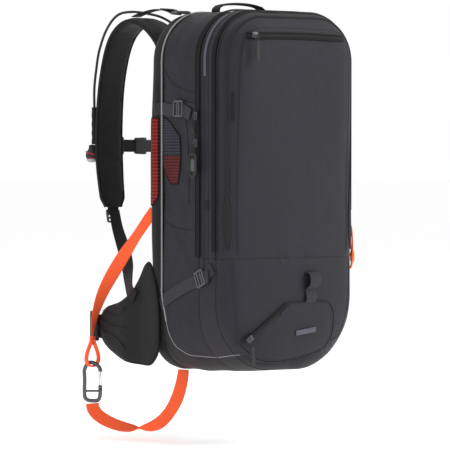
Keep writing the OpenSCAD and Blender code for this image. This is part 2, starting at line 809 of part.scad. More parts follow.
// The loop sewn in the end of the anchor strap: round below, drawn in above
module sewn_outline(inset) {
    r = sewn_w / 2 - inset;
    translate([0, sewn_w / 2]) circle(r);
    polygon([[-r, sewn_w / 2], [r, sewn_w / 2], [3.5 - inset / 2, sewn_h - 2 * inset],
        [inset / 2 - 3.5, sewn_h - 2 * inset]]);
}
module in_hook_plane() {
    translate(hook_at) rotate([0, 0, hook_turn]) rotate([90, 0, 0]) children();
}
module hook_outline(w, h) {
    translate([0, -w / 2]) circle(w / 2);
    translate([0, w / 2 - h]) circle(w / 2);
    translate([-w / 2, w / 2 - h]) square([w, h - w]);
}
module carabiner() {
    color([0.27, 0.28, 0.3]) in_hook_plane() translate([0, hook_top, -rod_r])
        linear_extrude(2 * rod_r) {
            difference() {
                hook_outline(carabiner_w, carabiner_h);
                translate([0, -2 * rod_r])
                    hook_outline(carabiner_w - 4 * rod_r, carabiner_h - 4 * rod_r);
                translate([0, -carabiner_h * 0.62])
                    square([carabiner_w, carabiner_h * 0.4]);
            }
            translate([-carabiner_w / 2 + rod_r, -carabiner_h * 0.74])
                square([carabiner_w - 2 * rod_r, 3]);
        }
}
module carabiner_gate() {
    color([0.6, 0.61, 0.63]) in_hook_plane() translate([0, hook_top, -1.5])
        linear_extrude(3) translate([carabiner_w / 2 - rod_r, -carabiner_h * 0.62 + 0.4]) {
            translate([0, 1.5]) circle(1.5);
            translate([-1.5, 1.5]) square([3, carabiner_h * 0.4 - 2.3]);
        }
}
module leg_strap() {
    color([1, 0.38, 0.19]) webbing(leg_route, leg_dirs, leg_w, web_t, 4);
}

rear_shell();
back_pads();
lumbar_pad();
frame_sheet();
frame_stays();
airbag();
main_shell();
lower_shell();
piping();
inlet_meshes();
vent_meshes();
system_divider();
blower_housing();
blower_cover();
cover_screws();
motor();
impeller();
inflation_duct();
supercapacitors();
battery_pack();
control_unit();
power_button();
main_zip();
main_slider_upper();
main_slider_lower();
main_pull_upper();
main_pull_lower();
flap_shell();
front_zip();
front_slider();
front_pulls();
front_panel();
top_pocket_zip();
top_slider();
top_pull();
lower_pocket();
pocket_slider();
pocket_pull();
haul_loop();
ice_axe_loop();
compression_straps();
compression_locks();
shoulder_straps();
load_lifters();
lifter_locks();
strap_locks();
strap_webbing();
sternum_strap();
handle_sleeve();
release_handle();
release_cable();
hip_fins();
hip_wing_left();
hip_wing_right();
hip_buckle_left();
hip_buckle_right();
anchor_strap();
carabiner();
carabiner_gate();
leg_strap();
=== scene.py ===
"""Avalanche airbag backpack: the visible pieces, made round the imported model."""

import logging
import math
from dataclasses import dataclass, field
from enum import Enum
from typing import Callable, Iterable, Sequence

import bmesh
import bpy
import numpy as np
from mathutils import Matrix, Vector, noise
from mathutils.bvhtree import BVHTree


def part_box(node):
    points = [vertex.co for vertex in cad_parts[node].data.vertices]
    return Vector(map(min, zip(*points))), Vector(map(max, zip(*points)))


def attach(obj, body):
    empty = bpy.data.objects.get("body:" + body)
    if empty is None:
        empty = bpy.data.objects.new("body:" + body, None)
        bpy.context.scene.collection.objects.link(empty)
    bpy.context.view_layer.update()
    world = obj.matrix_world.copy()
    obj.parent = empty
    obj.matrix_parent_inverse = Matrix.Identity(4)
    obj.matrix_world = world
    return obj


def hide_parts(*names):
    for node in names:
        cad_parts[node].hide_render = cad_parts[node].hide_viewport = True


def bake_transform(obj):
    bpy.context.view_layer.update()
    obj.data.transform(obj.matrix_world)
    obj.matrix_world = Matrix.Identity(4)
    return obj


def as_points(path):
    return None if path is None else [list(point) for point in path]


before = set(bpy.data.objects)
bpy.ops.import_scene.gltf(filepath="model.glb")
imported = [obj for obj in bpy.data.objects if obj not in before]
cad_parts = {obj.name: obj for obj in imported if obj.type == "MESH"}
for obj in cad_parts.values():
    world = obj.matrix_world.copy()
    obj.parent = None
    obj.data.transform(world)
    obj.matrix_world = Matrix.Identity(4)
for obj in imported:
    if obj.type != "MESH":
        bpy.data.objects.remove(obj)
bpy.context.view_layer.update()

MM = 0.001
LOG = logging.getLogger("backpack")
Point = Sequence[float]


class Body(str, Enum):
    """The bodies that the pieces ride on."""

    PACK = "pack"
    FLAP = "main_flap"
    PANEL = "front_panel"
    STERNUM = "sternum_strap"
    HANDLE = "release_handle"
    WING_LEFT = "hip_wing_left"
    WING_RIGHT = "hip_wing_right"
    GATE = "carabiner_gate"


# ---------------------------------------------------------------- frame sizes
@dataclass(frozen=True)
class Pack:
    """Depths, heights and widths that the shells share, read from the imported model."""

    half: float
    top: float
    back: float
    band: float
    main: float
    flap: float
    front: float
    crown: float
    fold: float

    @staticmethod
    def read() -> "Pack":
        """Reads the shells' boxes.

        Returns:
            The sizes in metres.
        """
        rear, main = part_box("rear_shell"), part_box("main_shell")
        lower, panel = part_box("lower_shell"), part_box("front_panel")
        return Pack(half=rear[1][0], top=rear[1][2], back=rear[1][1], band=rear[0][1],
                    main=main[0][1], flap=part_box("flap_shell")[0][1], front=lower[0][1],
                    crown=panel[0][1], fold=lower[1][2])


P = Pack.read()


# ---------------------------------------------------------------- shader maths
class Wire:
    """A shader socket that Python's operators work on; each adds a Math node."""

    def __init__(self, tree: bpy.types.NodeTree, socket: bpy.types.NodeSocket) -> None:
        """Keeps the tree and the socket."""
        self.tree = tree
        self.socket = socket

    def _join(self, operation: str, *values: "Wire | float") -> "Wire":
        """Adds one Math node.

        Args:
            operation: the node's operation.
            values: its inputs, in order.

        Returns:
            The node's result.
        """
        made = self.tree.nodes.new("ShaderNodeMath")
        made.operation = operation
        for place, value in zip(made.inputs, values):
            if isinstance(value, Wire):
                self.tree.links.new(value.socket, place)
            else:
                place.default_value = value
        return Wire(self.tree, made.outputs[0])

    def __add__(self, other: "Wire | float") -> "Wire":
        """Sum."""
        return self._join("ADD", self, other)

    def __radd__(self, other: float) -> "Wire":
        """Sum, with a number first."""
        return self._join("ADD", other, self)

    def __sub__(self, other: "Wire | float") -> "Wire":
        """Difference."""
        return self._join("SUBTRACT", self, other)

    def __rsub__(self, other: float) -> "Wire":
        """Difference, with a number first."""
        return self._join("SUBTRACT", other, self)

    def __mul__(self, other: "Wire | float") -> "Wire":
        """Product."""
        return self._join("MULTIPLY", self, other)

    def __rmul__(self, other: float) -> "Wire":
        """Product, with a number first."""
        return self._join("MULTIPLY", other, self)

    def __truediv__(self, other: "Wire | float") -> "Wire":
        """Quotient."""
        return self._join("DIVIDE", self, other)

    def __gt__(self, other: "Wire | float") -> "Wire":
        """1 where this is the greater."""
        return self._join("GREATER_THAN", self, other)

    def wave(self, length: float) -> "Wire":
        """A sine from 0 to 1 with the given wavelength."""
        return self._join("SINE", self * (2 * math.pi / length)) * 0.5 + 0.5

    def line(self, spacing: float, width: float) -> "Wire":
        """1 on thin lines that lie a spacing apart, 0 elsewhere."""
        share = self._join("FRACT", self / spacing)
        return self._join("LESS_THAN", share, width / spacing)

    def most(self, other: "Wire | float") -> "Wire":
        """The greater of two."""
        return self._join("MAXIMUM", self, other)

    def power(self, exponent: float) -> "Wire":
        """This to a power."""
        return self._join("POWER", self, exponent)

    def clamped(self) -> "Wire":
        """This held between 0 and 1."""
        return self._join("MINIMUM", self._join("MAXIMUM", self, 0.0), 1.0)


class Recipe:
    """Builds one material's node tree."""

    def __init__(self, name: str) -> None:
        """Starts a material with a Principled shader.

        Args:
            name: the material's name.
        """
        self.material = bpy.data.materials.new(name)
        self.material.use_nodes = True
        self.tree = self.material.node_tree
        self.tree.nodes.clear()
        self.shader = self.tree.nodes.new("ShaderNodeBsdfPrincipled")
        out = self.tree.nodes.new("ShaderNodeOutputMaterial")
        self.tree.links.new(self.shader.outputs[0], out.inputs[0])

    def node(self, kind: str, settings: dict | None = None, inputs: dict | None = None,
             output: int | str = 0) -> Wire:
        """Adds one node.

        Args:
            kind: the node's type.
            settings: its properties, set first.
            inputs: values or wires for its sockets.
            output: which output to give back.

        Returns:
            The chosen output.
        """
        made = self.tree.nodes.new(kind)
        for key, value in (settings or {}).items():
            setattr(made, key, value)
        for key, value in (inputs or {}).items():
            if isinstance(value, Wire):
                self.tree.links.new(value.socket, made.inputs[key])
            else:
                made.inputs[key].default_value = value
        return Wire(self.tree, made.outputs[output])

    def place(self) -> Wire:
        """Object coordinates, in metres."""
        return self.node("ShaderNodeTexCoord", output="Object")

    def cloth(self) -> tuple[Wire, Wire]:
        """The piece's own map, in metres along and across the cloth."""
        uv = self.node("ShaderNodeUVMap", {"uv_map": "cloth"})
        split = self.tree.nodes.new("ShaderNodeSeparateXYZ")
        self.tree.links.new(uv.socket, split.inputs[0])
        return Wire(self.tree, split.outputs[0]), Wire(self.tree, split.outputs[1])

    def noise(self, scale: float, detail: float = 3.0, roughness: float = 0.5) -> Wire:
        """Noise from 0 to 1 on Object coordinates."""
        return self.node("ShaderNodeTexNoise", {"noise_dimensions": "3D"},
                         {"Vector": self.place(), "Scale": scale, "Detail": detail,
                          "Roughness": roughness})

    def mix(self, factor: Wire | float, first: Wire | Point, second: Wire | Point) -> Wire:
        """A colour between two.

        Args:
            factor: 0 for the first, 1 for the second.
            first: a colour.
            second: a colour.

        Returns:
            The mixed colour.
        """
        made = self.tree.nodes.new("ShaderNodeMix")
        made.data_type = "RGBA"
        for index, value in ((0, factor), (6, first), (7, second)):
            if isinstance(value, Wire):
                self.tree.links.new(value.socket, made.inputs[index])
            elif index:
                made.inputs[index].default_value = (*value[:3], 1.0)
            else:
                made.inputs[index].default_value = value
        return Wire(self.tree, made.outputs[2])

    def bump(self, height: Wire, strength: float, distance: float,
             below: Wire | None = None) -> Wire:
        """A Bump node, which may stand on another."""
        inputs = {"Height": height, "Strength": strength, "Distance": distance}
        if below is not None:
            inputs["Normal"] = below
        return self.node("ShaderNodeBump", inputs=inputs)

    def finish(self, **sockets: Wire | float | Point) -> bpy.types.Material:
        """Fills the shader's sockets, whose names have _ for a space.

        Args:
            sockets: values or wires.

        Returns:
            The material.
        """
        for key, value in sockets.items():
            place = self.shader.inputs[key.replace("_", " ")]
            if isinstance(value, Wire):
                self.tree.links.new(value.socket, place)
            elif isinstance(value, (tuple, list)):
                place.default_value = (*value[:3], 1.0)
            else:
                place.default_value = value
        return self.material


def shade(colour: Point, by: float) -> tuple[float, float, float]:
    """A colour made lighter or darker."""
    return tuple(min(1.0, c * by) for c in colour[:3])


@dataclass(frozen=True)
class Ripstop:
    """Woven nylon with a raised grid of thicker threads."""

    name: str
    colour: Point
    grid: float = 0.0044
    thread: float = 0.0007
    roughness: float = 0.62
    sheen: float = 0.08
    grid_light: float = 1.5

    def make(self) -> bpy.types.Material:
        """Builds the material."""
        r = Recipe(self.name)
        u, v = r.cloth()
        grid = u.line(self.grid, 0.0008).most(v.line(self.grid, 0.0008))
        weave = u.wave(self.thread) * v.wave(self.thread)
        slow, fine = r.noise(9.0, 4.0), r.noise(160.0, 2.0)
        base = r.mix(slow, shade(self.colour, 0.8), shade(self.colour, 1.22))
        worn = ((r.noise(45.0, 5.0, 0.7) - 0.62) * 3.0).clamped()
        base = r.mix(worn * 0.35, base, shade(self.colour, 1.7))
        base = r.mix(grid * 0.5, base, shade(self.colour, self.grid_light))
        folds = r.bump(r.noise(22.0, 4.0), 0.45, 0.006)
        cloth = r.bump(weave * 0.5 + grid + fine * 0.4, 0.35, 0.0005, folds)
        return r.finish(Base_Color=base, Roughness=self.roughness - 0.08 + slow * 0.14,
                        Normal=cloth, Sheen_Weight=self.sheen, Sheen_Roughness=0.5,
                        Specular_IOR_Level=0.25)


@dataclass(frozen=True)
class Webbing:
    """Woven strap with ribs across it and firm edges."""

    name: str
    colour: Point
    width: float = 0.02
    rib: float = 0.0016
    roughness: float = 0.6
    sheen: float = 0.25

    def make(self) -> bpy.types.Material:
        """Builds the material."""
        r = Recipe(self.name)
        u, v = r.cloth()
        ribs, cords = u.wave(self.rib), v.wave(0.0022)
        slow = r.noise(60.0, 4.0)
        base = r.mix(slow, shade(self.colour, 0.84), shade(self.colour, 1.14))
        base = r.mix(ribs * cords * 0.35, base, shade(self.colour, 1.4))
        fuzz = ((r.noise(500.0, 3.0) - 0.6) * 4.0).clamped()
        base = r.mix(fuzz * 0.2, base, shade(self.colour, 1.5))
        face = r.bump(ribs * 0.6 + ribs * cords + fuzz * 0.3, 0.5, 0.0006)
        return r.finish(Base_Color=base, Roughness=self.roughness - 0.05 + slow * 0.12,
                        Normal=face, Sheen_Weight=self.sheen, Sheen_Roughness=0.4,
                        Specular_IOR_Level=0.2)


@dataclass(frozen=True)
class OpenMesh:
    """Knitted mesh: round holes between threads, and the holes painted a dark colour for the
    inside, as painted shade.
    """

    name: str
    thread: Point
    shaded_behind: Point
    pitch: float = 0.004
    roughness: float = 0.55

    def make(self) -> bpy.types.Material:
        """Builds the material."""
        r = Recipe(self.name)
        u, v = r.cloth()
        cells = u.wave(self.pitch) * v.wave(self.pitch * 0.9)
        hole = ((cells - 0.22) * 5.0).clamped()
        slow = r.noise(24.0, 3.0)
        thread = r.mix(slow, shade(self.thread, 0.65), shade(self.thread, 1.3))
        # Painted shade: the holes take a dark colour that stands for the shaded inside under the
        # mesh.
        base = r.mix(hole, thread, self.shaded_behind)
        face = r.bump(1.0 - hole, 0.8, 0.0009)
        return r.finish(Base_Color=base, Roughness=self.roughness + hole * 0.3, Normal=face,
                        Sheen_Weight=0.04, Sheen_Roughness=0.5, Specular_IOR_Level=0.2)


@dataclass(frozen=True)
class Moulded:
    """Injection-moulded plastic with a fine grain and rubbed high spots."""

    name: str
    colour: Point
    roughness: float = 0.42
    grain: float = 900.0
    coat: float = 0.0

    def make(self) -> bpy.types.Material:
        """Builds the material."""
        r = Recipe(self.name)
        slow, fine = r.noise(70.0, 4.0), r.noise(self.grain, 2.0)
        rubbed = ((r.noise(240.0, 5.0, 0.7) - 0.6) * 4.0).clamped()
        base = r.mix(slow, shade(self.colour, 0.85), shade(self.colour, 1.2))
        base = r.mix(rubbed * 0.3, base, shade(self.colour, 1.8))
        return r.finish(Base_Color=base, Roughness=self.roughness - 0.06 + slow * 0.16,
                        Normal=r.bump(fine, 0.25, 0.0002), Coat_Weight=self.coat)


@dataclass(frozen=True)
class Metal:
    """Anodised, drawn or coated metal with fine scratches."""

    name: str
    colour: Point
    roughness: float = 0.35
    stretch: Point = (1.0, 1.0, 12.0)

    def make(self) -> bpy.types.Material:
        """Builds the material."""
        r = Recipe(self.name)
        turned = r.node("ShaderNodeMapping", inputs={"Vector": r.place(), "Scale": self.stretch})
        scratch = r.node("ShaderNodeTexNoise", inputs={"Vector": turned, "Scale": 220.0,
                                                       "Detail": 5.0})
        base = r.mix(scratch, shade(self.colour, 0.8), shade(self.colour, 1.25))
        return r.finish(Base_Color=base, Metallic=1.0, Roughness=self.roughness - 0.1
                        + scratch * 0.2, Normal=r.bump(scratch, 0.15, 0.0002))


class Finish(Enum):
    """Every finish of the object."""

    BODY = Ripstop("charcoal_ripstop", (0.0165, 0.0153, 0.0205), sheen=0.03)
    PANEL = Ripstop("charcoal_ripstop_front", (0.0185, 0.0174, 0.0222), sheen=0.03)
    BASE = Ripstop("black_base_cloth", (0.0085, 0.008, 0.0105), grid_light=1.15, sheen=0.04)
    BACK = Ripstop("black_cordura", (0.0085, 0.0085, 0.0092), grid=0.0022, grid_light=1.25,
                   sheen=0.06, roughness=0.7)
    LINING = Ripstop("grey_lining", (0.16, 0.16, 0.175), grid=0.006, grid_light=1.1)
    BINDING = Webbing("black_binding", (0.0045, 0.0045, 0.0052), rib=0.001, sheen=0.02)
    # The second colour of each mesh fills its holes: the inside under the mesh, painted dark as
    # shade.
    PAD = OpenMesh("spacer_mesh", (0.014, 0.014, 0.015), (0.004, 0.004, 0.004), pitch=0.003)
    RED = OpenMesh("red_inlet_mesh", (0.27, 0.014, 0.009), (0.025, 0.002, 0.002), pitch=0.0052)
    # DARKRED and LILAC are one vent mesh: LILAC paints its upper part, with the inside in painted
    # shade.
    DARKRED = OpenMesh("dark_red_vent_mesh", (0.11, 0.009, 0.008), (0.016, 0.002, 0.002),
                       pitch=0.0046)
    LILAC = OpenMesh("lilac_vent_mesh_painted_shade", (0.034, 0.031, 0.046), (0.006, 0.005, 0.008),
                     pitch=0.0046)
    PIPING = Webbing("grey_piping", (0.10, 0.097, 0.097), rib=0.0012, sheen=0.05)
    REFLECT = Webbing("reflective_strip", (0.10, 0.10, 0.125), rib=0.0011, sheen=0.0)
    WEB_BLACK = Webbing("black_webbing", (0.010, 0.010, 0.011), sheen=0.06)
    WEB_GREY = Webbing("dark_grey_webbing", (0.034, 0.034, 0.038), sheen=0.05)
    WEB_ORANGE = Webbing("orange_webbing", (0.95, 0.105, 0.022), sheen=0.1)
    TAPE = Webbing("zip_tape", (0.0035, 0.0032, 0.0045), rib=0.0009, sheen=0.0)
    THREAD = Webbing("dark_thread", (0.034, 0.033, 0.038), rib=0.0005, sheen=0.02)
    THREAD_ORANGE = Webbing("orange_thread", (0.6, 0.05, 0.012), rib=0.0005)
    CORD = Webbing("pull_cord", (0.02, 0.02, 0.022), rib=0.0008)
    CORD_ORANGE = Webbing("orange_cord", (0.95, 0.11, 0.015), rib=0.0008)
    BLACK = Moulded("black_plastic", (0.010, 0.010, 0.011))
    GREY = Moulded("dark_grey_plastic", (0.062, 0.062, 0.068), roughness=0.33)
    ORANGE = Moulded("orange_plastic", (0.95, 0.12, 0.012), roughness=0.3)
    RED_PLASTIC = Moulded("red_plastic", (0.42, 0.02, 0.015), roughness=0.3)
    LIGHT = Moulded("light_grey_plastic", (0.42, 0.43, 0.45), roughness=0.3)
    RUBBER = Moulded("black_rubber", (0.014, 0.014, 0.014), roughness=0.6)
    SLEEVE = Moulded("blue_sleeve", (0.03, 0.07, 0.25), roughness=0.25)
    SLIDER = Metal("black_coated_metal", (0.11, 0.11, 0.12), roughness=0.42)
    ANODISED = Metal("grey_anodised_metal", (0.12, 0.125, 0.14), roughness=0.38)
    STEEL = Metal("brushed_steel", (0.6, 0.6, 0.62), roughness=0.3)
    ALUMINIUM = Metal("drawn_aluminium", (0.66, 0.66, 0.68), roughness=0.34)
    AIRBAG = Ripstop("airbag_cloth", (0.75, 0.14, 0.02), grid=0.005)

    @property
    def material(self) -> bpy.types.Material:
        """The material, built once."""
        found = bpy.data.materials.get(self.value.name)
        return found or self.value.make()


# ---------------------------------------------------------------- mesh helpers
def unit(v: np.ndarray) -> np.ndarray:
    """Vectors scaled to length 1."""
    return v / np.maximum(np.linalg.norm(v, axis=-1, keepdims=True), 1e-12)


def smooth_line(points: Iterable[Point], per: int = 8) -> np.ndarray:
    """A Catmull-Rom line through points, with a number of steps for each stretch."""
    p = np.array(list(points), float)
    q = np.vstack([p[:1], p, p[-1:]])
    t = (np.arange(per) / per)[:, None]
    out = []
    for a, b, c, d in zip(q[:-3], q[1:-2], q[2:-1], q[3:]):
        out.append(0.5 * (2 * b + (c - a) * t + (2 * a - 5 * b + 4 * c - d) * t ** 2
                          + (3 * b - a - 3 * c + d) * t ** 3))
    return np.vstack([*out, p[-1:]])


def closed_line(points: Iterable[Point], per: int = 8) -> np.ndarray:
    """A closed Catmull-Rom line through points, without its first point at the end."""
    p = list(points)
    line = smooth_line([p[-1], *p, p[0], p[1]], per)
    return line[per:-per - 1]


def evenly(line: np.ndarray, count: int, closed: bool = False) -> np.ndarray:
    """A number of points spaced evenly along a line."""
    p = np.vstack([line, line[:1]]) if closed else line
    at = np.concatenate([[0], np.cumsum(np.linalg.norm(np.diff(p, axis=0), axis=1))])
    want = np.linspace(0, at[-1], count + 1)[:-1] if closed else np.linspace(0, at[-1], count)
    return np.stack([np.interp(want, at, p[:, k]) for k in range(p.shape[1])], axis=1)


def step(a: float, b: float, x: np.ndarray | float) -> np.ndarray | float:
    """A smooth rise from 0 at a to 1 at b."""
    t = np.clip((np.asarray(x) - a) / (b - a), 0, 1)
    return t * t * (3 - 2 * t)


def arch(half: float, top: float, rt: float, rb: float, count: int = 300,
         inset: float = 0.0) -> np.ndarray:
    """The pack's outline as (x, z), from the middle of the base round by +X.

    Args:
        half: half its width.
        top: its height.
        rt: the top corners' radius.
        rb: the bottom corners' radius.
        count: how many points.
        inset: how far it is set in.

    Returns:
        The points, spaced evenly.
    """
    w, lo, hi = half - inset, inset, top - inset
    rt, rb = max(rt - inset, 0.004), max(rb - inset, 0.004)
    turn = np.linspace(0, math.pi / 2, 24)
    corner = [(w - rb + rb * math.sin(a), lo + rb - rb * math.cos(a)) for a in turn]
    crown = [(w - rt + rt * math.cos(a), hi - rt + rt * math.sin(a)) for a in turn]
    right = [(0.0, lo), *corner, *crown, (0.0, hi)]
    left = [(-x, z) for x, z in right[-2:0:-1]]
    return evenly(np.array(right + left), count, closed=True)


class Sketch:
    """Collects faces, with a cloth map and a finish for each, and makes one piece."""

    def __init__(self, name: str) -> None:
        """Starts an empty sketch."""
        self.name = name
        self.verts: list[tuple[float, float, float]] = []
        self.faces: list[tuple[int, ...]] = []
        self.maps: list[list[tuple[float, float]]] = []
        self.slots: list[int] = []
        self.finishes: list[Finish] = []

    def slot(self, finish: Finish) -> int:
        """The index of a finish among the piece's materials."""
        if finish not in self.finishes:
            self.finishes.append(finish)
        return self.finishes.index(finish)

    def grid(self, rows: np.ndarray, finish: Finish, closed: bool = False,
             caps: bool = False, uv: Callable | None = None) -> None:
        """Adds a grid of faces.

        Args:
            rows: points as (row, column, 3).
            finish: its finish.
            closed: whether the columns close into a ring.
            caps: whether the first and last ring are filled.
            uv: gives the cloth map from a point; lengths along the grid are used without it.
        """
        rows = np.asarray(rows, float)
        n, m, _ = rows.shape
        base, slot = len(self.verts), self.slot(finish)
        self.verts += [tuple(p) for p in rows.reshape(-1, 3)]
        ring = np.concatenate([rows, rows[:, :1]], axis=1) if closed else rows
        widths = np.linalg.norm(np.diff(ring, axis=1), axis=2)
        across = np.concatenate([np.zeros((n, 1)), np.cumsum(widths, axis=1)], axis=1)
        across -= across[:, -1:] / 2
        steps = np.linalg.norm(np.diff(rows, axis=0), axis=2).mean(axis=1)
        along = np.concatenate([[0], np.cumsum(steps)])
        for i in range(n - 1):
            for k in range(m if closed else m - 1):
                j = (k + 1) % m
                ids = (base + i * m + k, base + i * m + j, base + (i + 1) * m + j,
                       base + (i + 1) * m + k)
                self.faces.append(ids)
                self.slots.append(slot)
                if uv is None:
                    self.maps.append([(along[i], across[i, k]), (along[i], across[i, k + 1]),
                                      (along[i + 1], across[i + 1, k + 1]),
                                      (along[i + 1], across[i + 1, k])])
                else:
                    self.maps.append([uv(self.verts[q]) for q in ids])
        if caps:
            for i, order in ((0, -1), (n - 1, 1)):
                ids = [base + i * m + k for k in range(m)][::order]
                self.faces.append(tuple(ids))
                self.slots.append(slot)
                self.maps.append([(self.verts[q][0], self.verts[q][2]) for q in ids])

    def tube(self, line: np.ndarray, radius: float | np.ndarray, finish: Finish,
             sides: int = 10, closed: bool = False) -> None:
        """Adds a round tube along a line."""
        line = np.asarray(line, float)
        n = len(line)
        radius = np.broadcast_to(radius, (n,))
        if closed:
            ahead = unit(np.roll(line, -1, axis=0) - np.roll(line, 1, axis=0))
        else:
            ahead = unit(np.gradient(line, axis=0))
        side = unit(np.cross(ahead[0], (0.31, 0.22, 0.93)))
        turn = np.linspace(0, 2 * math.pi, sides, endpoint=False)
        rows = []
        for i in range(n):
            side = unit(side - (side @ ahead[i]) * ahead[i])
            other = np.cross(ahead[i], side)
            rows.append(line[i] + radius[i] * (np.cos(turn)[:, None] * side
                                               + np.sin(turn)[:, None] * other))
        if closed:
            shift = int(np.argmin([np.linalg.norm(np.roll(rows[0], -s, axis=0) - rows[-1])
                                   for s in range(sides)]))
            rows.append(np.roll(rows[0], -shift, axis=0))
        self.grid(np.array(rows), finish, closed=True, caps=not closed)

    def ribbon(self, line: np.ndarray, wide: np.ndarray, width: float | np.ndarray,
               thick: float | np.ndarray, finish: Finish, crown: float = 0.0,
               around: int = 16) -> None:
        """Adds a flat band with rounded edges along a line.

        Args:
            line: its middle.
            wide: the direction of its width at each point.
            width: its width.
            thick: its thickness.
            finish: its finish.
            crown: how square the section is, from 0 for an even band to 1 for a lens.
            around: points round the section.
        """
        line = np.asarray(line, float)
        ahead = unit(np.gradient(line, axis=0))
        wide = np.broadcast_to(np.asarray(wide, float), line.shape)
        side = unit(wide - (wide * ahead).sum(1, keepdims=True) * ahead)
        up = np.cross(ahead, side)
        a = np.linspace(0, 2 * math.pi, around, endpoint=False) + math.pi / around
        power = 0.35 + 0.65 * crown
        x = np.sign(np.cos(a)) * np.abs(np.cos(a)) ** (0.55 if crown < 0.5 else 0.9)
        y = np.sign(np.sin(a)) * np.abs(np.sin(a)) ** power
        w = np.broadcast_to(width, (len(line),))[:, None, None] / 2
        t = np.broadcast_to(thick, (len(line),))[:, None, None] / 2
        rows = line[:, None] + w * x[None, :, None] * side[:, None] \
            + t * y[None, :, None] * up[:, None]
        self.grid(rows, finish, closed=True, caps=True)

    def block(self, centre: Point, axes: np.ndarray, size: Point, finish: Finish,
              soft: float = 0.25) -> None:
        """Adds a block with rounded edges: a superellipsoid squared off by soft."""
        n, m = 13, 24
        lat = np.linspace(-math.pi / 2, math.pi / 2, n)
        lon = np.linspace(0, 2 * math.pi, m, endpoint=False)

        def bulge(x: np.ndarray) -> np.ndarray:
            """A squared-off sine or cosine."""
            return np.sign(x) * np.abs(x) ** soft

        rows = np.stack([
            bulge(np.cos(lat))[:, None] * bulge(np.cos(lon))[None],
            bulge(np.cos(lat))[:, None] * bulge(np.sin(lon))[None],
            np.repeat(bulge(np.sin(lat))[:, None], m, axis=1)], axis=2)
        rows = rows * (np.array(size) / 2)
        rows = np.array(centre) + rows @ np.array(axes, float)
        self.grid(rows, finish, closed=True)

    def pillow(self, loop: np.ndarray, place: Callable, thick: float, finish: Finish,
               back: Finish | None = None, rings: int = 12, edge: float = 0.18,
               medial: float = 0.0) -> None:
        """Adds a padded shape with a crowned face and back.

        Args:
            loop: its outline, as (a, b).
            place: turns (a, b, height) into a point.
            thick: its full thickness.
            finish: its face's finish.
            back: its back's finish.
            rings: rings from edge to middle.
            edge: how quickly the edge rises.
            medial: half the length of the middle line that the rings close on, along b.
        """
        middle = loop.mean(axis=0)
        span = np.clip(loop[:, 1] - middle[1], -medial, medial)
        core = np.stack([np.full(len(loop), middle[0]), middle[1] + span], axis=1)
        for sign, look in ((1, finish), (-1, back or finish)):
            rows = []
            for s in np.linspace(0, 1, rings) ** 1.4:
                height = thick / 2 * min(1.0, (1 - (1 - s / edge) ** 2) ** 0.5
                                         if s < edge else 1.0) * (1 + 0.12 * s)
                flat = loop + (core - loop) * s
                rows.append([place(a, b, sign * height) for a, b in flat])
            rows = np.array(rows)
            self.grid(rows[:, ::sign], look, closed=True)

    def finish(self, smooth: bool = True, merge: float = 1e-6) -> bpy.types.Object:
        """Makes the piece.

        Args:
            smooth: whether its faces are shaded smooth.
            merge: points this near each other become one.

        Returns:
            The Blender object, at the origin.
        """
        mesh = bpy.data.meshes.new(self.name)
        mesh.from_pydata(self.verts, [], self.faces)
        layer = mesh.uv_layers.new(name="cloth")
        flat = [c for one in self.maps for c in one]
        layer.data.foreach_set("uv", np.array(flat, np.float32).ravel())
        for finish in self.finishes:
            mesh.materials.append(finish.material)
        mesh.polygons.foreach_set("material_index", np.array(self.slots, np.int32))
        mesh.polygons.foreach_set("use_smooth", np.full(len(mesh.polygons), smooth))
        tidy = bmesh.new()
        tidy.from_mesh(mesh)
        bmesh.ops.remove_doubles(tidy, verts=tidy.verts, dist=merge)
        bmesh.ops.dissolve_degenerate(tidy, dist=merge, edges=tidy.edges)
        bmesh.ops.recalc_face_normals(tidy, faces=tidy.faces)
        tidy.to_mesh(mesh)
        tidy.free()
        mesh.update()
        made = bpy.data.objects.new(self.name, mesh)
        bpy.context.scene.collection.objects.link(made)
        return made


def place_piece(made: bpy.types.Object, body: Body | str, slot: str,
                *replaced: str) -> bpy.types.Object:
    """Rides a piece on its body, hides the CAD nodes that it stands for, and logs it."""
    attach(made, body.value if isinstance(body, Body) else body)
    if replaced:
        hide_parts(*replaced)
    LOG.info("piece %s: %d faces", made.name, len(made.data.polygons))
    return made


def turn_out(made: bpy.types.Object, centre: Point) -> None:
    """Turns an open shell's faces away from a point inside it."""
    mesh = made.data
    total = 0.0
    for face in mesh.polygons:
        total += face.area * face.normal.dot(face.center - Vector(centre))
    if total < 0:
        mesh.flip_normals()


def modify(made: bpy.types.Object, kind: str, **settings: object) -> bpy.types.Modifier:
    """Adds a modifier with its settings."""
    added = made.modifiers.new(kind.lower(), kind)
    for key, value in settings.items():
        setattr(added, key, value)
    return added


def bake_modifiers(made: bpy.types.Object) -> None:
    """Turns a piece and its modifiers into a plain mesh."""
    seen = made.evaluated_get(bpy.context.evaluated_depsgraph_get())
    mesh = bpy.data.meshes.new_from_object(seen)
    made.modifiers.clear()
    made.data = mesh


def cut_at(made: bpy.types.Object, height: float, keep_above: bool) -> None:
    """Cuts a piece off at a height."""
    b = bmesh.new()
    b.from_mesh(made.data)
    bmesh.ops.bisect_plane(b, geom=b.verts[:] + b.edges[:] + b.faces[:], dist=1e-6,
                           plane_co=(0, 0, height), plane_no=(0, 0, 1),
                           clear_inner=keep_above, clear_outer=not keep_above)
    b.to_mesh(made.data)
    b.free()


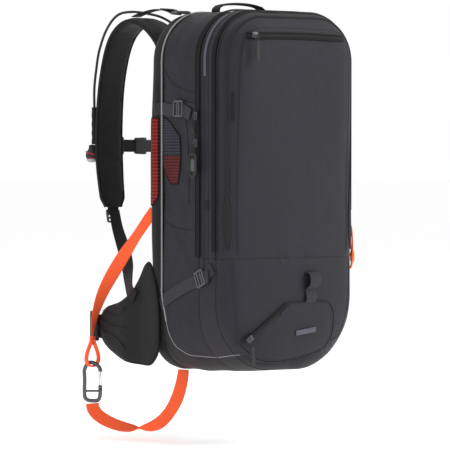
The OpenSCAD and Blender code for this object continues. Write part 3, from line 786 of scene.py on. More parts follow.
# ---------------------------------------------------------------- repeats along a path
def repeat_tree(name: str, finish: Finish) -> bpy.types.NodeTree:
    """Builds the tree that lays short round pieces along a path: stitches and zip teeth.

    Args:
        name: the tree's name.
        finish: the pieces' finish.

    Returns:
        The tree, with inputs Spacing, Length, Radius and Turn.
    """
    tree = bpy.data.node_groups.new(name, "GeometryNodeTree")
    sockets = (("Path", "NodeSocketGeometry", None), ("Spacing", "NodeSocketFloat", 0.004),
               ("Length", "NodeSocketFloat", 0.003), ("Radius", "NodeSocketFloat", 0.0004),
               ("Turn", "NodeSocketFloat", 0.0))
    for label, kind, value in sockets:
        made = tree.interface.new_socket(label, in_out="INPUT", socket_type=kind)
        if value is not None:
            made.default_value = value
    tree.interface.new_socket("Pieces", in_out="OUTPUT", socket_type="NodeSocketGeometry")

    def add(kind: str, settings: dict | None = None) -> bpy.types.Node:
        """Adds a node with its settings."""
        made = tree.nodes.new(kind)
        for key, value in (settings or {}).items():
            setattr(made, key, value)
        return made

    start, end = add("NodeGroupInput"), add("NodeGroupOutput")
    curve, points = add("GeometryNodeMeshToCurve"), add("GeometryNodeCurveToPoints",
                                                        {"mode": "LENGTH"})
    piece, spread = add("GeometryNodeMeshCylinder"), add("GeometryNodeInstanceOnPoints")
    swing, aim = add("GeometryNodeRotateInstances"), add("ShaderNodeCombineXYZ")
    real, paint = add("GeometryNodeRealizeInstances"), add("GeometryNodeSetMaterial")
    piece.inputs["Vertices"].default_value = 6
    paint.inputs["Material"].default_value = finish.material
    for a, b in ((start.outputs["Path"], curve.inputs[0]), (curve.outputs[0], points.inputs[0]),
                 (start.outputs["Spacing"], points.inputs["Length"]),
                 (points.outputs["Points"], spread.inputs["Points"]),
                 (start.outputs["Radius"], piece.inputs["Radius"]),
                 (start.outputs["Length"], piece.inputs["Depth"]),
                 (piece.outputs["Mesh"], spread.inputs["Instance"]),
                 (points.outputs["Rotation"], spread.inputs["Rotation"]),
                 (start.outputs["Turn"], aim.inputs["Y"]),
                 (spread.outputs[0], swing.inputs["Instances"]),
                 (aim.outputs[0], swing.inputs["Rotation"]),
                 (swing.outputs[0], real.inputs[0]), (real.outputs[0], paint.inputs[0]),
                 (paint.outputs[0], end.inputs[0])):
        tree.links.new(a, b)
    return tree


def lay_along(name: str, lines: Iterable[np.ndarray], finish: Finish, spacing: float,
              length: float, radius: float, turn: float = 0.0) -> bpy.types.Object:
    """Lays short round pieces along lines.

    Args:
        name: the piece's name.
        lines: the paths.
        finish: the finish.
        spacing: from one to the next.
        length: each one's length.
        radius: each one's radius.
        turn: how far each is turned off the path, in radians.

    Returns:
        One plain mesh.
    """
    mesh = bpy.data.meshes.new(name)
    verts, edges = [], []
    for line in lines:
        base = len(verts)
        verts += [tuple(p) for p in line]
        edges += [(base + i, base + i + 1) for i in range(len(line) - 1)]
    mesh.from_pydata(verts, edges, [])
    made = bpy.data.objects.new(name, mesh)
    bpy.context.scene.collection.objects.link(made)
    tree = bpy.data.node_groups.get(f"along_{finish.value.name}") \
        or repeat_tree(f"along_{finish.value.name}", finish)
    added = made.modifiers.new("along", "NODES")
    added.node_group = tree
    wanted = {"Spacing": spacing, "Length": length, "Radius": radius, "Turn": turn}
    for item in tree.interface.items_tree:
        if item.item_type == "SOCKET" and item.name in wanted:
            added[item.identifier] = wanted[item.name]
    bake_modifiers(made)
    if not made.data.materials:
        made.data.materials.append(finish.material)
    if not made.data.uv_layers:
        made.data.uv_layers.new(name="cloth")
    return made


def sew(body: Body, slot: str, name: str, lines: Iterable[np.ndarray], finish: Finish,
        spacing: float, length: float, radius: float, turn: float = 0.0) -> None:
    """Lays a row of stitches or teeth along lines, and places it on its body."""
    place_piece(lay_along(name, lines, finish, spacing, length, radius, turn), body, slot)



# ---------------------------------------------------------------- stage
@dataclass
class Stage:
    """Floor, lights and camera."""

    target: Point = (-0.0333, -0.0633, 0.2190)
    turn: float = -38.0
    rise: float = 1.2
    distance: float = 4.4
    lens: float = 232.8
    ambient: float = 0.62

    def build(self) -> None:
        """Makes the camera, the lights and the floor."""
        scene = bpy.context.scene
        lens = bpy.data.cameras.new("camera")
        lens.lens, lens.sensor_width = self.lens, 36
        camera = bpy.data.objects.new("camera", lens)
        a, e = math.radians(self.turn), math.radians(self.rise)
        away = Vector((math.sin(a) * math.cos(e), -math.cos(a) * math.cos(e), math.sin(e)))
        camera.location = Vector(self.target) + away * self.distance
        camera.rotation_euler = (-away).to_track_quat("-Z", "Y").to_euler()
        scene.collection.objects.link(camera)
        scene.camera = camera
        world = bpy.data.worlds.new("studio")
        world.use_nodes = True
        world.node_tree.nodes["Background"].inputs[0].default_value = (1, 1, 1, 1)
        ray = world.node_tree.nodes.new("ShaderNodeLightPath")
        power = world.node_tree.nodes.new("ShaderNodeMapRange")
        power.inputs["To Min"].default_value = self.ambient
        world.node_tree.links.new(ray.outputs["Is Camera Ray"], power.inputs["Value"])
        world.node_tree.links.new(power.outputs["Result"],
                                  world.node_tree.nodes["Background"].inputs[1])
        scene.world = world
        scene.view_settings.view_transform = "Standard"
        self.light("key", (1.7, -1.9, 1.9), 1.0, 44)
        self.light("fill", (-2.4, -0.9, 1.1), 1.4, 7)
        self.light("top", (0.0, 0.2, 2.4), 1.4, 14)
        r = Recipe("pale_floor")
        r.finish(Base_Color=r.mix(r.noise(3.0), (0.965, 0.965, 0.965), (0.98, 0.98, 0.98)),
                 Roughness=0.9, Emission_Color=(1.0, 1.0, 1.0, 1.0), Emission_Strength=0.38)
        mesh = bpy.data.meshes.new("floor")
        s, z = 60.0, -0.11
        mesh.from_pydata([(-s, -s, z), (s, -s, z), (s, s, z), (-s, s, z)], [], [(0, 1, 2, 3)])
        mesh.materials.append(r.material)
        floor = bpy.data.objects.new("floor", mesh)
        scene.collection.objects.link(floor)

    def light(self, name: str, place: Point, size: float, power: float) -> None:
        """Adds a soft area light aimed at the pack."""
        lamp = bpy.data.lights.new(name, "AREA")
        lamp.size, lamp.energy = size, power
        made = bpy.data.objects.new(name, lamp)
        made.location = place
        made.rotation_euler = (Vector(place) - Vector(self.target)).to_track_quat(
            "Z", "Y").to_euler()
        bpy.context.scene.collection.objects.link(made)


# ---------------------------------------------------------------- free straps
@dataclass
class LegHarness:
    """The orange anchor strap, its sewn loop, the carabiner and the leg strap."""

    web: float = 0.020
    thick: float = 0.0017
    anchor: tuple = ((-118, 4, 240), (-122, 16, 225), (-128, 40, 196), (-136, 68, 160),
                     (-146, 92, 120), (-152, 104, 88), (-155, 109, 64), (-156, 110, 45))
    anchor_wide: tuple = ((0, .8, .6), (0, .8, .6), (0, .8, .6), (-.6, .6, .5),
                          (-.95, .1, .3), (-.95, -.3, .1), (-.8, -.6, 0), (-.6, -.8, 0))
    leg: tuple = ((-156, 110, -56), (-156, 108, -64), (-152, 100, -74), (-142, 84, -84),
                  (-128, 62, -91), (-112, 40, -92), (-97, 20, -84), (-86, 6, -66),
                  (-79, -4, -44), (-75, -10, -20), (-73, -12, -1))
    leg_wide: tuple = ((.8, -.6, 0), (.8, -.6, 0), (.8, -.6, 0), (.8, -.6, .1), (.8, -.6, .1),
                       (.8, -.6, 0), (.8, -.6, 0), (.9, -.4, 0), (.9, -.4, 0), (1, -.2, 0),
                       (1, 0, 0))
    hook: tuple = (-0.156, 0.110, 0.0)
    hook_turn: float = -38.0
    loop_turn: float = 50.0

    def build(self) -> None:
        """Makes the pieces."""
        loop, hook, gate = self.sewn_loop(), self.carabiner(), self.gate()
        self.strap("anchor_strap_webbing", self.anchor, self.anchor_wide, "anchor_strap",
                   exit_at=(-0.118, 0.004, 0.240), far="connector", pieces=(loop, hook, gate))
        self.strap("leg_strap_webbing", self.leg, self.leg_wide, "leg_strap",
                   exit_at=(-0.073, -0.012, -0.001), far="object", pieces=())
        self.stitches()

    def strap(self, name: str, route: tuple, wide: tuple, node: str, exit_at: Point, far: str,
              pieces: tuple) -> None:
        line = smooth_line(np.array(route) * MM, 10)
        lie = smooth_line(wide, 10)
        sketch = Sketch(name)
        sketch.ribbon(line, lie, self.web, self.thick, Finish.WEB_ORANGE)
        made = place_piece(sketch.finish(), Body.PACK, "orange_webbing", node)
        path = [tuple(float(c) for c in p) for p in line]
        if node == "leg_strap":
            path = path[::-1]
        list(pieces)
        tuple(exit_at)
        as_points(path)

    def plane(self, turn: float) -> np.ndarray:
        """Axes of an upright plane turned about the vertical: across, up and normal."""
        a = math.radians(turn)
        return np.array([(math.cos(a), math.sin(a), 0), (0, 0, 1),
                         (math.sin(a), -math.cos(a), 0)])

    def put(self, flat: Iterable[Point], turn: float) -> np.ndarray:
        """Points of a turned plane, in the pack's frame."""
        return np.array([[a * MM, b * MM, 0.0] for a, b in flat]) @ self.plane(turn) \
            + np.array(self.hook)

    def sewn_loop(self) -> bpy.types.Object:
        """The webbing folded and sewn into a drop-shaped loop."""
        turn = self.hook_turn + self.loop_turn
        ring = [(0, 1), (7.5, 2.6), (12.6, 8), (13.6, 15), (10.8, 24), (5.4, 34), (1.6, 41),
                (-1.6, 41), (-5.4, 34), (-10.8, 24), (-13.6, 15), (-12.6, 8), (-7.5, 2.6)]
        line = self.put(closed_line(ring, 6), turn)
        line = np.vstack([line, line[:2]])
        sketch = Sketch("sewn_loop")
        sketch.ribbon(line, self.plane(turn)[2], 0.0070, 0.0026, Finish.WEB_ORANGE)
        neck = self.put([(0, 34), (0, 39), (0, 44), (0, 47)], turn)
        sketch.ribbon(neck, self.plane(turn)[0], np.array([0.010, 0.0105, 0.0105, 0.010]),
                      0.0042, Finish.WEB_ORANGE)
        made = place_piece(sketch.finish(), Body.PACK, "orange_webbing")
        return made

    def carabiner(self) -> bpy.types.Object:
        """The asymmetric carabiner with its cross bar."""
        outline = [(-6, 6), (2, 6), (9, 1), (12, -5.5), (12, -18), (12, -30.3), (11.5, -44),
                   (8.5, -51), (0, -52), (-8, -50.5), (-12, -44), (-12, -20), (-12, -4)]
        line = self.put(closed_line(outline, 5), self.hook_turn)
        heights = line[:, 2] / MM
        right = (line - np.array(self.hook)) @ self.plane(self.hook_turn)[0] > 0.011
        open_part = right & (heights < -5) & (heights > -30.5)
        first = int(np.argmax(open_part))
        rolled = np.roll(line, -first, axis=0)
        body = rolled[int(open_part.sum()):]
        sketch = Sketch("carabiner_body")
        radius = np.full(len(body), 0.0030)
        sketch.tube(body, radius, Finish.ANODISED, sides=14)
        bar = self.put([(-12, -37), (-6, -37), (0, -36.9), (6, -36.9), (12, -37)], self.hook_turn)
        sketch.tube(bar, 0.0017, Finish.ANODISED, sides=12)
        for at in ((12, -5.2), (12, -30.6)):
            centre = self.put([at], self.hook_turn)[0]
            sketch.block(centre, self.plane(self.hook_turn), (0.0066, 0.0048, 0.0062),
                         Finish.ANODISED, soft=0.5)
        made = place_piece(sketch.finish(), Body.PACK, "anodised_grey", "carabiner")
        return made

    def gate(self) -> bpy.types.Object:
        """The wire gate."""
        wire = [(12.0, -30.2), (13.4, -27), (13.2, -18), (12.4, -10), (12.0, -6.4),
                (11.4, -10), (10.4, -18), (10.4, -27)]
        line = self.put(closed_line(wire, 6), self.hook_turn)
        spread = np.sin(np.linspace(0, 2 * math.pi, len(line), endpoint=False))
        line = line + spread[:, None] * 0.0012 * self.plane(self.hook_turn)[2]
        sketch = Sketch("carabiner_wire_gate")
        sketch.tube(line, 0.0008, Finish.STEEL, sides=8, closed=True)
        made = place_piece(sketch.finish(), Body.GATE, "steel", "carabiner_gate")
        return made

    def stitches(self) -> None:
        """The bar tacks above the loop."""
        turn = self.hook_turn + self.loop_turn
        rows = []
        for side in (-1, 1):
            for up in (36, 38.4, 40.8, 43.2):
                flat = self.put([(-4.4, up), (4.4, up)], turn)
                rows.append(flat + side * 0.0023 * self.plane(turn)[2])
        sew(Body.PACK, "orange_webbing", "sewn_loop_stitches", rows, Finish.THREAD_ORANGE, 0.0016,
            0.0013, 0.00025)


# ---------------------------------------------------------------- shells
def seam_height(y: np.ndarray) -> np.ndarray:
    """Height of the seam above the black base cloth, over the depth of the pack."""
    at = np.array([-0.20, -0.165, -0.125, -0.080, -0.060, -0.045, -0.034, 0.0])
    up = np.array([0.030, 0.030, 0.024, 0.026, 0.038, 0.070, 0.115, 0.30])
    return np.interp(y, at, up)


@dataclass
class Shells:
    """The pack's fabric walls, lofted from one outline that changes with the depth."""

    around: int = 420
    wall: float = 0.0016
    wrinkle: float = 0.0011

    def radius(self, y: float) -> float:
        """The bottom corners' radius at a depth."""
        return float(np.interp(-y, [0.034, 0.08, 0.125, 0.187], [0.060, 0.072, 0.094, 0.118]))

    def rows(self, stations: Iterable[tuple[float, float]], half: float, top: float,
             crease: float = 0.0) -> np.ndarray:
        """Rings through stations of (y, inset), with folds in the cloth.

        Args:
            stations: depths and how far the ring is set in.
            half: half the width that the insets start from.
            top: the height that the insets start from.
            crease: size of the folds.

        Returns:
            The rings' points.
        """
        out = []
        for y, inset in stations:
            flat = arch(half, top, 0.075 if inset < 0.03 else 0.07, self.radius(y), self.around,
                        inset)
            out.append(np.column_stack([flat[:, 0], np.full(len(flat), y), flat[:, 1]]))
        rows = np.array(out)
        if crease:
            centre = np.array([0, P.main, 0.3])
            away = rows - centre
            away[..., 1] *= 0.35
            away = unit(away)
            flat = rows.reshape(-1, 3)
            size = crease * np.array([
                0.62 * noise.noise(Vector((p[0] * 9, p[1] * 26, p[2] * 9 + p[1] * 20)))
                + 0.38 * noise.noise(Vector((p[0] * 24, p[1] * 40, p[2] * 30 - p[1] * 34)))
                for p in flat])
            rows = rows + (size.reshape(rows.shape[:2]) - crease * 0.2)[..., None] * away
        return rows

    def side(self, a: float, b: float, half_a: float, half_b: float, bulge: float,
             steps: int) -> list[tuple[float, float]]:
        """Stations of one side panel, drawn in at both seams and full between them."""
        out = []
        for t in np.linspace(0, 1, steps):
            pinch = 0.0016 * (1 - step(0, 0.06, t)) + 0.0016 * step(0.94, 1, t)
            out.append((a + (b - a) * t, half_a + (half_b - half_a) * t
                        - bulge * math.sin(math.pi * t) + pinch))
        return out

    def shell(self, name: str, rows: np.ndarray, finish: Finish, body: Body,
              nodes: Sequence[str], above: bool | None, base: bool = False,
              cap: bool = False, joint: tuple | None = None) -> bpy.types.Object:
        """Makes one fabric shell.

        Args:
            name: the piece's name.
            rows: its rings.
            finish: its cloth.
            body: what it rides on.
            nodes: the CAD nodes that it stands for.
            above: keep what lies above the fold, below it, or all of it.
            base: whether the black base cloth covers its lowest part.
            cap: whether the last ring is filled.
            joint: when given, the piece is baked where it is instead of riding on its body; the
                other body and the points in it are not used.

        Returns:
            The piece.
        """
        sketch = Sketch(name)
        sketch.grid(rows, finish, closed=True)
        if cap:
            last = len(sketch.verts) - rows.shape[1]
            ids = tuple(range(last, last + rows.shape[1]))
            sketch.faces.append(ids)
            sketch.slots.append(sketch.slot(finish))
            sketch.maps.append([(sketch.verts[q][0], sketch.verts[q][2]) for q in ids])
        made = sketch.finish(merge=1e-5)
        if above is not None:
            cut_at(made, P.fold + (0.0002 if above else 0), above)
        turn_out(made, (0, -0.09, 0.27 if above is None else (0.35 if above else 0.09)))
        if base:
            made.data.materials.append(Finish.BASE.material)
            for face in made.data.polygons:
                if face.center.z < seam_height(face.center.y):
                    face.material_index = len(made.data.materials) - 1
        modify(made, "SOLIDIFY", thickness=self.wall, offset=-1.0, use_even_offset=True,
               thickness_clamp=1.0)
        bake_modifiers(made)
        slot = "back_fabric" if finish is Finish.BACK else "body_fabric"
        if joint:
            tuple(joint[2])
            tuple(joint[3])
            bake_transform(made)
            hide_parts(*nodes)
        else:
            place_piece(made, body, slot, *nodes)
        return made

    def build(self) -> None:
        """Makes the rear band, the sides, the lower part, the flap and the front panel."""
        fine = self.wrinkle
        rear = [(P.back, 0.012), (P.back - 0.0005, 0.004), (P.back - 0.003, 0.0012),
                (P.back - 0.010, 0.0), (P.back - 0.018, 0.0004), (P.band + 0.003, 0.0012),
                (P.band, 0.0022)]
        rows = self.rows(rear, P.half, P.top, fine * 0.5)
        full = step(0.10, 0.22, rows[..., 2]) * (1 - step(0.36, 0.47, rows[..., 2]))
        full = full * np.sin(np.clip((P.back - rows[..., 1]) / 0.026, 0, 1) * math.pi) ** 0.5
        rows[..., 0] += np.sign(rows[..., 0]) * 0.0065 * full * (np.abs(rows[..., 0]) > 0.11)
        plate = self.rows([(P.back, 0.020), (P.back, 0.012)], P.half, P.top)
        self.shell("rear_band", np.concatenate([plate, rows])[::-1], Finish.BACK, Body.PACK,
                   ["rear_shell"], None, cap=True)
        side = self.side(P.band - 0.0004, P.main, 0.0004, 0.0022, 0.0014, 22)
        self.shell("side_panels", self.rows(side, P.half, P.top, fine * 2.3), Finish.BODY,
                   Body.PACK, ["main_shell"], None, base=True)
        band = [(P.main - 0.0004, 0.0030), (P.main - 0.0015, 0.0008), (P.main - 0.007, 0.0003),
                (P.main - 0.0085, 0.0014), (P.main - 0.011, 0.0022), (P.main - 0.017, 0.0014),
                (P.main - 0.0205, 0.0010), (P.main - 0.0215, 0.0022), (P.main - 0.0225, 0.0012),
                (P.main - 0.028, 0.0018), (P.flap + 0.003, 0.0030), (P.flap + 0.0005, 0.0050)]
        front = [(P.flap - 0.0002, 0.0060), (P.flap - 0.0010, 0.0042), (P.flap - 0.004, 0.0040),
                 (P.flap - 0.008, 0.0056), (P.flap - 0.012, 0.0080), (P.flap - 0.0165, 0.012),
                 (P.flap - 0.0205, 0.017), (P.flap - 0.0235, 0.023), (P.flap - 0.0260, 0.030),
                 (P.flap - 0.0283, 0.040), (P.flap - 0.0302, 0.052), (P.flap - 0.0318, 0.066),
                 (P.flap - 0.0331, 0.082), (P.flap - 0.0341, 0.100), (P.flap - 0.0345, 0.117)]
        flap_rows = self.rows(band, P.half, P.top, fine)
        front_rows = self.rows(front, P.half, P.top, fine * 1.4)
        fuller = np.array([0, 0, 0, 0, 0, 0.8, 2.6, 4.6, 6.2, 6.7, 5.7, 4.2, 2.9, 1.9, 1.5]) * MM
        front_rows[..., 1] -= fuller[:, None] * step(0.26, 0.44, front_rows[..., 2])
        plain = self.rows([(y, 0.0012 + 0.0024 * (P.main - y) / 0.035) for y, _ in band],
                          P.half, P.top, fine)
        near = step(0.130, 0.172, flap_rows[..., 2:])
        everything = np.concatenate([plain + (flap_rows - plain) * near, front_rows])
        self.shell("lower_body", everything, Finish.PANEL, Body.PACK, ["lower_shell"], False,
                   base=True, cap=True,
                   joint=(Body.PACK, Body.FLAP, (0, -0.150, 0.150), (0, -0.187, 0.172)))
        self.shell("flap_band", flap_rows, Finish.BODY, Body.FLAP, ["flap_shell"], True)
        self.shell("front_panel_cloth", front_rows, Finish.PANEL, Body.PANEL, ["front_panel"],
                   True, cap=True,
                   joint=(Body.FLAP, Body.PANEL, (0, -0.187, 0.174), (0, -0.187, 0.192)))


class Skin:
    """The finished outer cloth, that details are laid on."""

    def __init__(self, names: Sequence[str]) -> None:
        """Collects the shells' faces.

        Args:
            names: the pieces to lay things on.
        """
        verts, faces = [], []
        for name in names:
            mesh = bpy.data.objects[name].data
            base = len(verts)
            verts += [v.co.copy() for v in mesh.vertices]
            faces += [[base + i for i in p.vertices] for p in mesh.polygons]
        self.tree = BVHTree.FromPolygons(verts, faces)

    def on(self, points: Iterable[Point], ahead: Point, lift: float) -> np.ndarray:
        """Points moved along a direction until they lie just over the cloth.

        Args:
            points: where they start, outside the cloth.
            ahead: the direction.
            lift: how far they stand off.

        Returns:
            The moved points.
        """
        way = Vector(ahead).normalized()
        out = []
        for p in points:
            hit = self.tree.ray_cast(Vector(p), way)[0]
            out.append(np.array((hit or Vector(p)) - way * lift))
        return np.array(out)

    def side(self, flat: Iterable[Point], sign: int, lift: float) -> np.ndarray:
        """Points given as (y, z) laid on the left (-1) or right (1) side."""
        return self.on([(sign * 0.2, y, z) for y, z in flat], (-sign, 0, 0), lift)

    def front(self, flat: Iterable[Point], lift: float) -> np.ndarray:
        """Points given as (x, z) laid on the front."""
        return self.on([(x, -0.3, z) for x, z in flat], (0, 1, 0), lift)

    def corner(self, flat: Iterable[Point], sign: int, lift: float) -> np.ndarray:
        """Points given as (across, z) laid on the left (-1) or right (1) front corner."""
        starts = [(sign * (0.148 - 0.788 * a), -0.215 - 0.616 * a, z) for a, z in flat]
        return self.on(starts, (-sign * 0.616, 0.788, 0), lift)


def over(y: float, inset: float, low: float) -> np.ndarray:
    """The outline at a depth, from the right side at a height over the top to the left."""
    flat = arch(P.half, P.top, 0.075, 0.070, 420, inset)
    flat = flat[flat[:, 1] > low]
    return np.column_stack([flat[:, 0], np.full(len(flat), y), flat[:, 1]])


# ---------------------------------------------------------------- zips
@dataclass
class Slider:
    """A zip slider: two plates, a bridge and the loop that a pull hangs from."""

    length: float = 0.012
    width: float = 0.0085
    height: float = 0.0036

    def add(self, sketch: Sketch, at: Point, along: Point, out: Point) -> None:
        """Adds the slider to a sketch.

        Args:
            sketch: where it goes.
            at: its middle, at the underside.
            along: the way that it runs.
            out: the way that it faces.
        """
        a, o = unit(np.array(along, float)), unit(np.array(out, float))
        axes = np.array([a, np.cross(o, a), o])
        at = np.array(at, float)
        sketch.block(at + o * self.height * 0.25, axes,
                     (self.length, self.width, self.height * 0.5), Finish.SLIDER, 0.4)
        sketch.block(at + o * self.height * 0.62 - a * 0.001, axes,
                     (self.length * 0.72, self.width * 0.5, self.height * 0.5),
                     Finish.SLIDER, 0.5)
        t = np.linspace(0, math.pi, 9)
        arc = at + o * (self.height * 0.55 + 0.0016 * np.sin(t))[:, None] \
            - a * (0.0034 * np.cos(t))[:, None]
        sketch.tube(arc, 0.0007, Finish.SLIDER, sides=8)


@dataclass
class Zips:
    """Tapes, teeth, sliders and pulls."""

    tooth: float = 0.0016

    def band(self, name: str, line: np.ndarray, wide: Point, body: Body, node: str,
             width: float = 0.0085, teeth: float = 0.0032, lift: float = 0.0006) -> None:
        """Makes a zip: its tape, its coil and the seams beside it.

        Args:
            name: the piece's name.
            line: its middle.
            wide: the direction across it.
            body: what it rides on.
            node: the CAD node that it stands for.
            width: the tape's width.
            teeth: the coil's width.
            lift: the coil's height over the tape.
        """
        sketch = Sketch(name + "_tape")
        sketch.ribbon(line, wide, width, 0.0009, Finish.TAPE, around=12)
        side = unit(np.broadcast_to(np.asarray(wide, float), line.shape))
        ahead = unit(np.gradient(line, axis=0))
        out = unit(np.cross(ahead, side))
        centre = line.mean(axis=0)
        if ((line - centre) * out).sum() < 0 and abs(line[:, 1].std()) < 0.01:
            out = -out
        for edge in (-1, 1):
            sketch.ribbon(line + side * edge * width * 0.5 + out * 0.0004, side,
                          0.0030, 0.0012, Finish.BINDING, around=10)
        place_piece(sketch.finish(), body, "zip_tape", node)
        sew(body, "zip_tape", name + "_teeth", [line + out * lift], Finish.BLACK, self.tooth,
            teeth, 0.00055, math.pi / 2)
        rows = [line + side * edge * width * 0.5 + out * 0.0011 for edge in (-1, 1)]
        sew(body, "zip_tape", name + "_stitches", rows, Finish.THREAD, 0.0032, 0.0022, 0.00022)

    def cord_loop(self, sketch: Sketch, top: Point, low: Point, spread: Point,
                  finish: Finish = Finish.CORD, radius: float = 0.0009,
                  gap: float = 0.0028) -> None:
        """Adds a loop of thin cord from one point to another."""
        top, low, side = np.array(top, float), np.array(low, float), unit(np.array(spread, float))
        t = np.linspace(0, 2 * math.pi, 25)[:-1]
        line = (top + low) / 2 + np.cos(t)[:, None] * (top - low) / 2 \
            + np.sin(t)[:, None] * side * gap
        sketch.tube(line, radius, finish, sides=8, closed=True)

    def build(self, skin: Skin) -> None:
        """Makes every zip with its slider and pull."""
        main = over(P.main + 0.0035, -0.0001, 0.174)
        self.band("main_zip", main, (0, 1, 0), Body.PACK, "main_zip", width=0.0085)
        front = over(P.flap + 0.0030, 0.0026, 0.179)
        self.band("front_zip", front, (0, 1, 0), Body.FLAP, "front_zip", width=0.0070)
        top = skin.front([(x, 0.5 + 0.0008 * math.cos(x * 30)) for x in
                          np.linspace(-0.092, 0.099, 90)], 0.0006)
        self.band("top_pocket_zip", top, (0, 0.2, 1), Body.PANEL, "top_pocket_zip", 0.0075,
                  lift=-0.0004)
        self.side_pulls()
        self.front_pulls()
        self.top_pull()

    def side_pulls(self) -> None:
        """The two sliders of the main zip and their pulls."""
        x, y = -P.half - 0.0034, P.main + 0.003
        for name, z in (("upper", 0.382), ("lower", 0.342)):
            sketch = Sketch(f"main_slider_{name}_metal")
            Slider().add(sketch, (x, y, z), (0, 0, 1 if name == "upper" else -1), (-1, 0, 0))
            place_piece(sketch.finish(), f"main_slider_{name}", "zip_metal",
                        f"main_slider_{name}")
        px = -P.half - 0.0094
        small = Sketch("main_pull_upper_cord")
        self.cord_loop(small, (px, y, 0.381), (px, y, 0.362), (0, 1, 0.1), gap=0.0022)
        small.block((px, y, 0.3605), np.eye(3), (0.0034, 0.0058, 0.007), Finish.BLACK, 0.5)
        place_piece(small.finish(), "main_pull_upper", "black_plastic", "main_pull_upper")
        large = Sketch("main_pull_lower_moulding")
        self.cord_loop(large, (px, y, 0.341), (px, y, 0.326), (0, 1, 0), gap=0.0026)
        self.cord_loop(large, (px, y + 0.001, 0.337), (px, y + 0.0015, 0.322), (0, 1, 0.2),
                       gap=0.0020)
        ring = np.array([(-0.0052, 0.3255), (0.0052, 0.3255), (0.0074, 0.3215), (0.0074, 0.305),
                         (0.0056, 0.2965), (0.0, 0.2925), (-0.0056, 0.2965), (-0.0074, 0.305),
                         (-0.0074, 0.3215)])
        line = np.array([(px, y + a, b) for a, b in closed_line(ring, 5)])
        large.tube(line, 0.0017, Finish.BLACK, sides=10, closed=True)
        large.block((px, y, 0.3095), np.eye(3), (0.0018, 0.0098, 0.018), Finish.GREY, 0.3)
        place_piece(large.finish(), "main_pull_lower", "black_plastic", "main_pull_lower")

    def front_pulls(self) -> None:
        """The front slider on the right, with its orange pulls."""
        x, y, z = P.half - 0.0006, P.flap + 0.003, 0.219
        sketch = Sketch("front_slider_metal")
        Slider(length=0.013, width=0.009).add(sketch, (x, y, z), (0, 0, 1), (1, 0, 0))
        ring = np.array([(x + 0.0036, y + 0.0040 * math.cos(t), z + 0.0045 * math.sin(t))
                         for t in np.linspace(0, 2 * math.pi, 20, endpoint=False)])
        sketch.tube(ring, 0.0010, Finish.SLIDER, sides=8, closed=True)
        place_piece(sketch.finish(), "front_slider", "zip_metal", "front_slider")
        px = x + 0.0064
        pulls = Sketch("front_pulls_orange")
        self.cord_loop(pulls, (px, y - 0.001, 0.2170), (px + 0.0012, y - 0.0025, 0.176),
                       (0.3, 1, 0), Finish.CORD_ORANGE, 0.00125, 0.0034)
        self.cord_loop(pulls, (px, y, 0.2150), (px + 0.0005, y + 0.0028, 0.190), (0.3, 1, 0.2),
                       Finish.CORD_ORANGE, 0.0012, 0.0026)
        pulls.block((px + 0.0012, y - 0.003, 0.171), np.eye(3), (0.0052, 0.0060, 0.018),
                    Finish.ORANGE, 0.45)
        outline = [(-0.0056, 0.170), (-0.0062, 0.162), (-0.0040, 0.1550), (0.0, 0.1530),
                   (0.0040, 0.1550), (0.0062, 0.162), (0.0056, 0.170), (0.0, 0.1740)]
        line = np.array([(px - 0.0004, y + 0.0022 + a, b) for a, b in closed_line(outline, 5)])
        pulls.tube(line, 0.0017, Finish.ORANGE, sides=10, closed=True)
        place_piece(pulls.finish(), "front_pulls", "orange_plastic", "front_pulls")

    def top_pull(self) -> None:
        """The top pocket's slider and its long flat pull."""
        x, y, z = -0.082, P.crown - 0.0022, 0.500
        sketch = Sketch("top_slider_metal")
        Slider().add(sketch, (x, y + 0.0014, z), (1, 0, 0), (0, -1, 0))
        place_piece(sketch.finish(), "top_slider", "zip_metal", "top_slider")
        pull = Sketch("top_pull_tape")
        py = P.crown - 0.0077
        self.cord_loop(pull, (x, py, 0.5005), (x, py, 0.489), (1, 0, 0), gap=0.0018)
        line = np.array([(x, py, b) for b in np.linspace(0.491, 0.4625, 12)])
        pull.ribbon(line, (1, 0, 0), np.linspace(0.0048, 0.0066, 12), 0.0022, Finish.BLACK)
        place_piece(pull.finish(), "top_pull", "black_plastic", "top_pull")


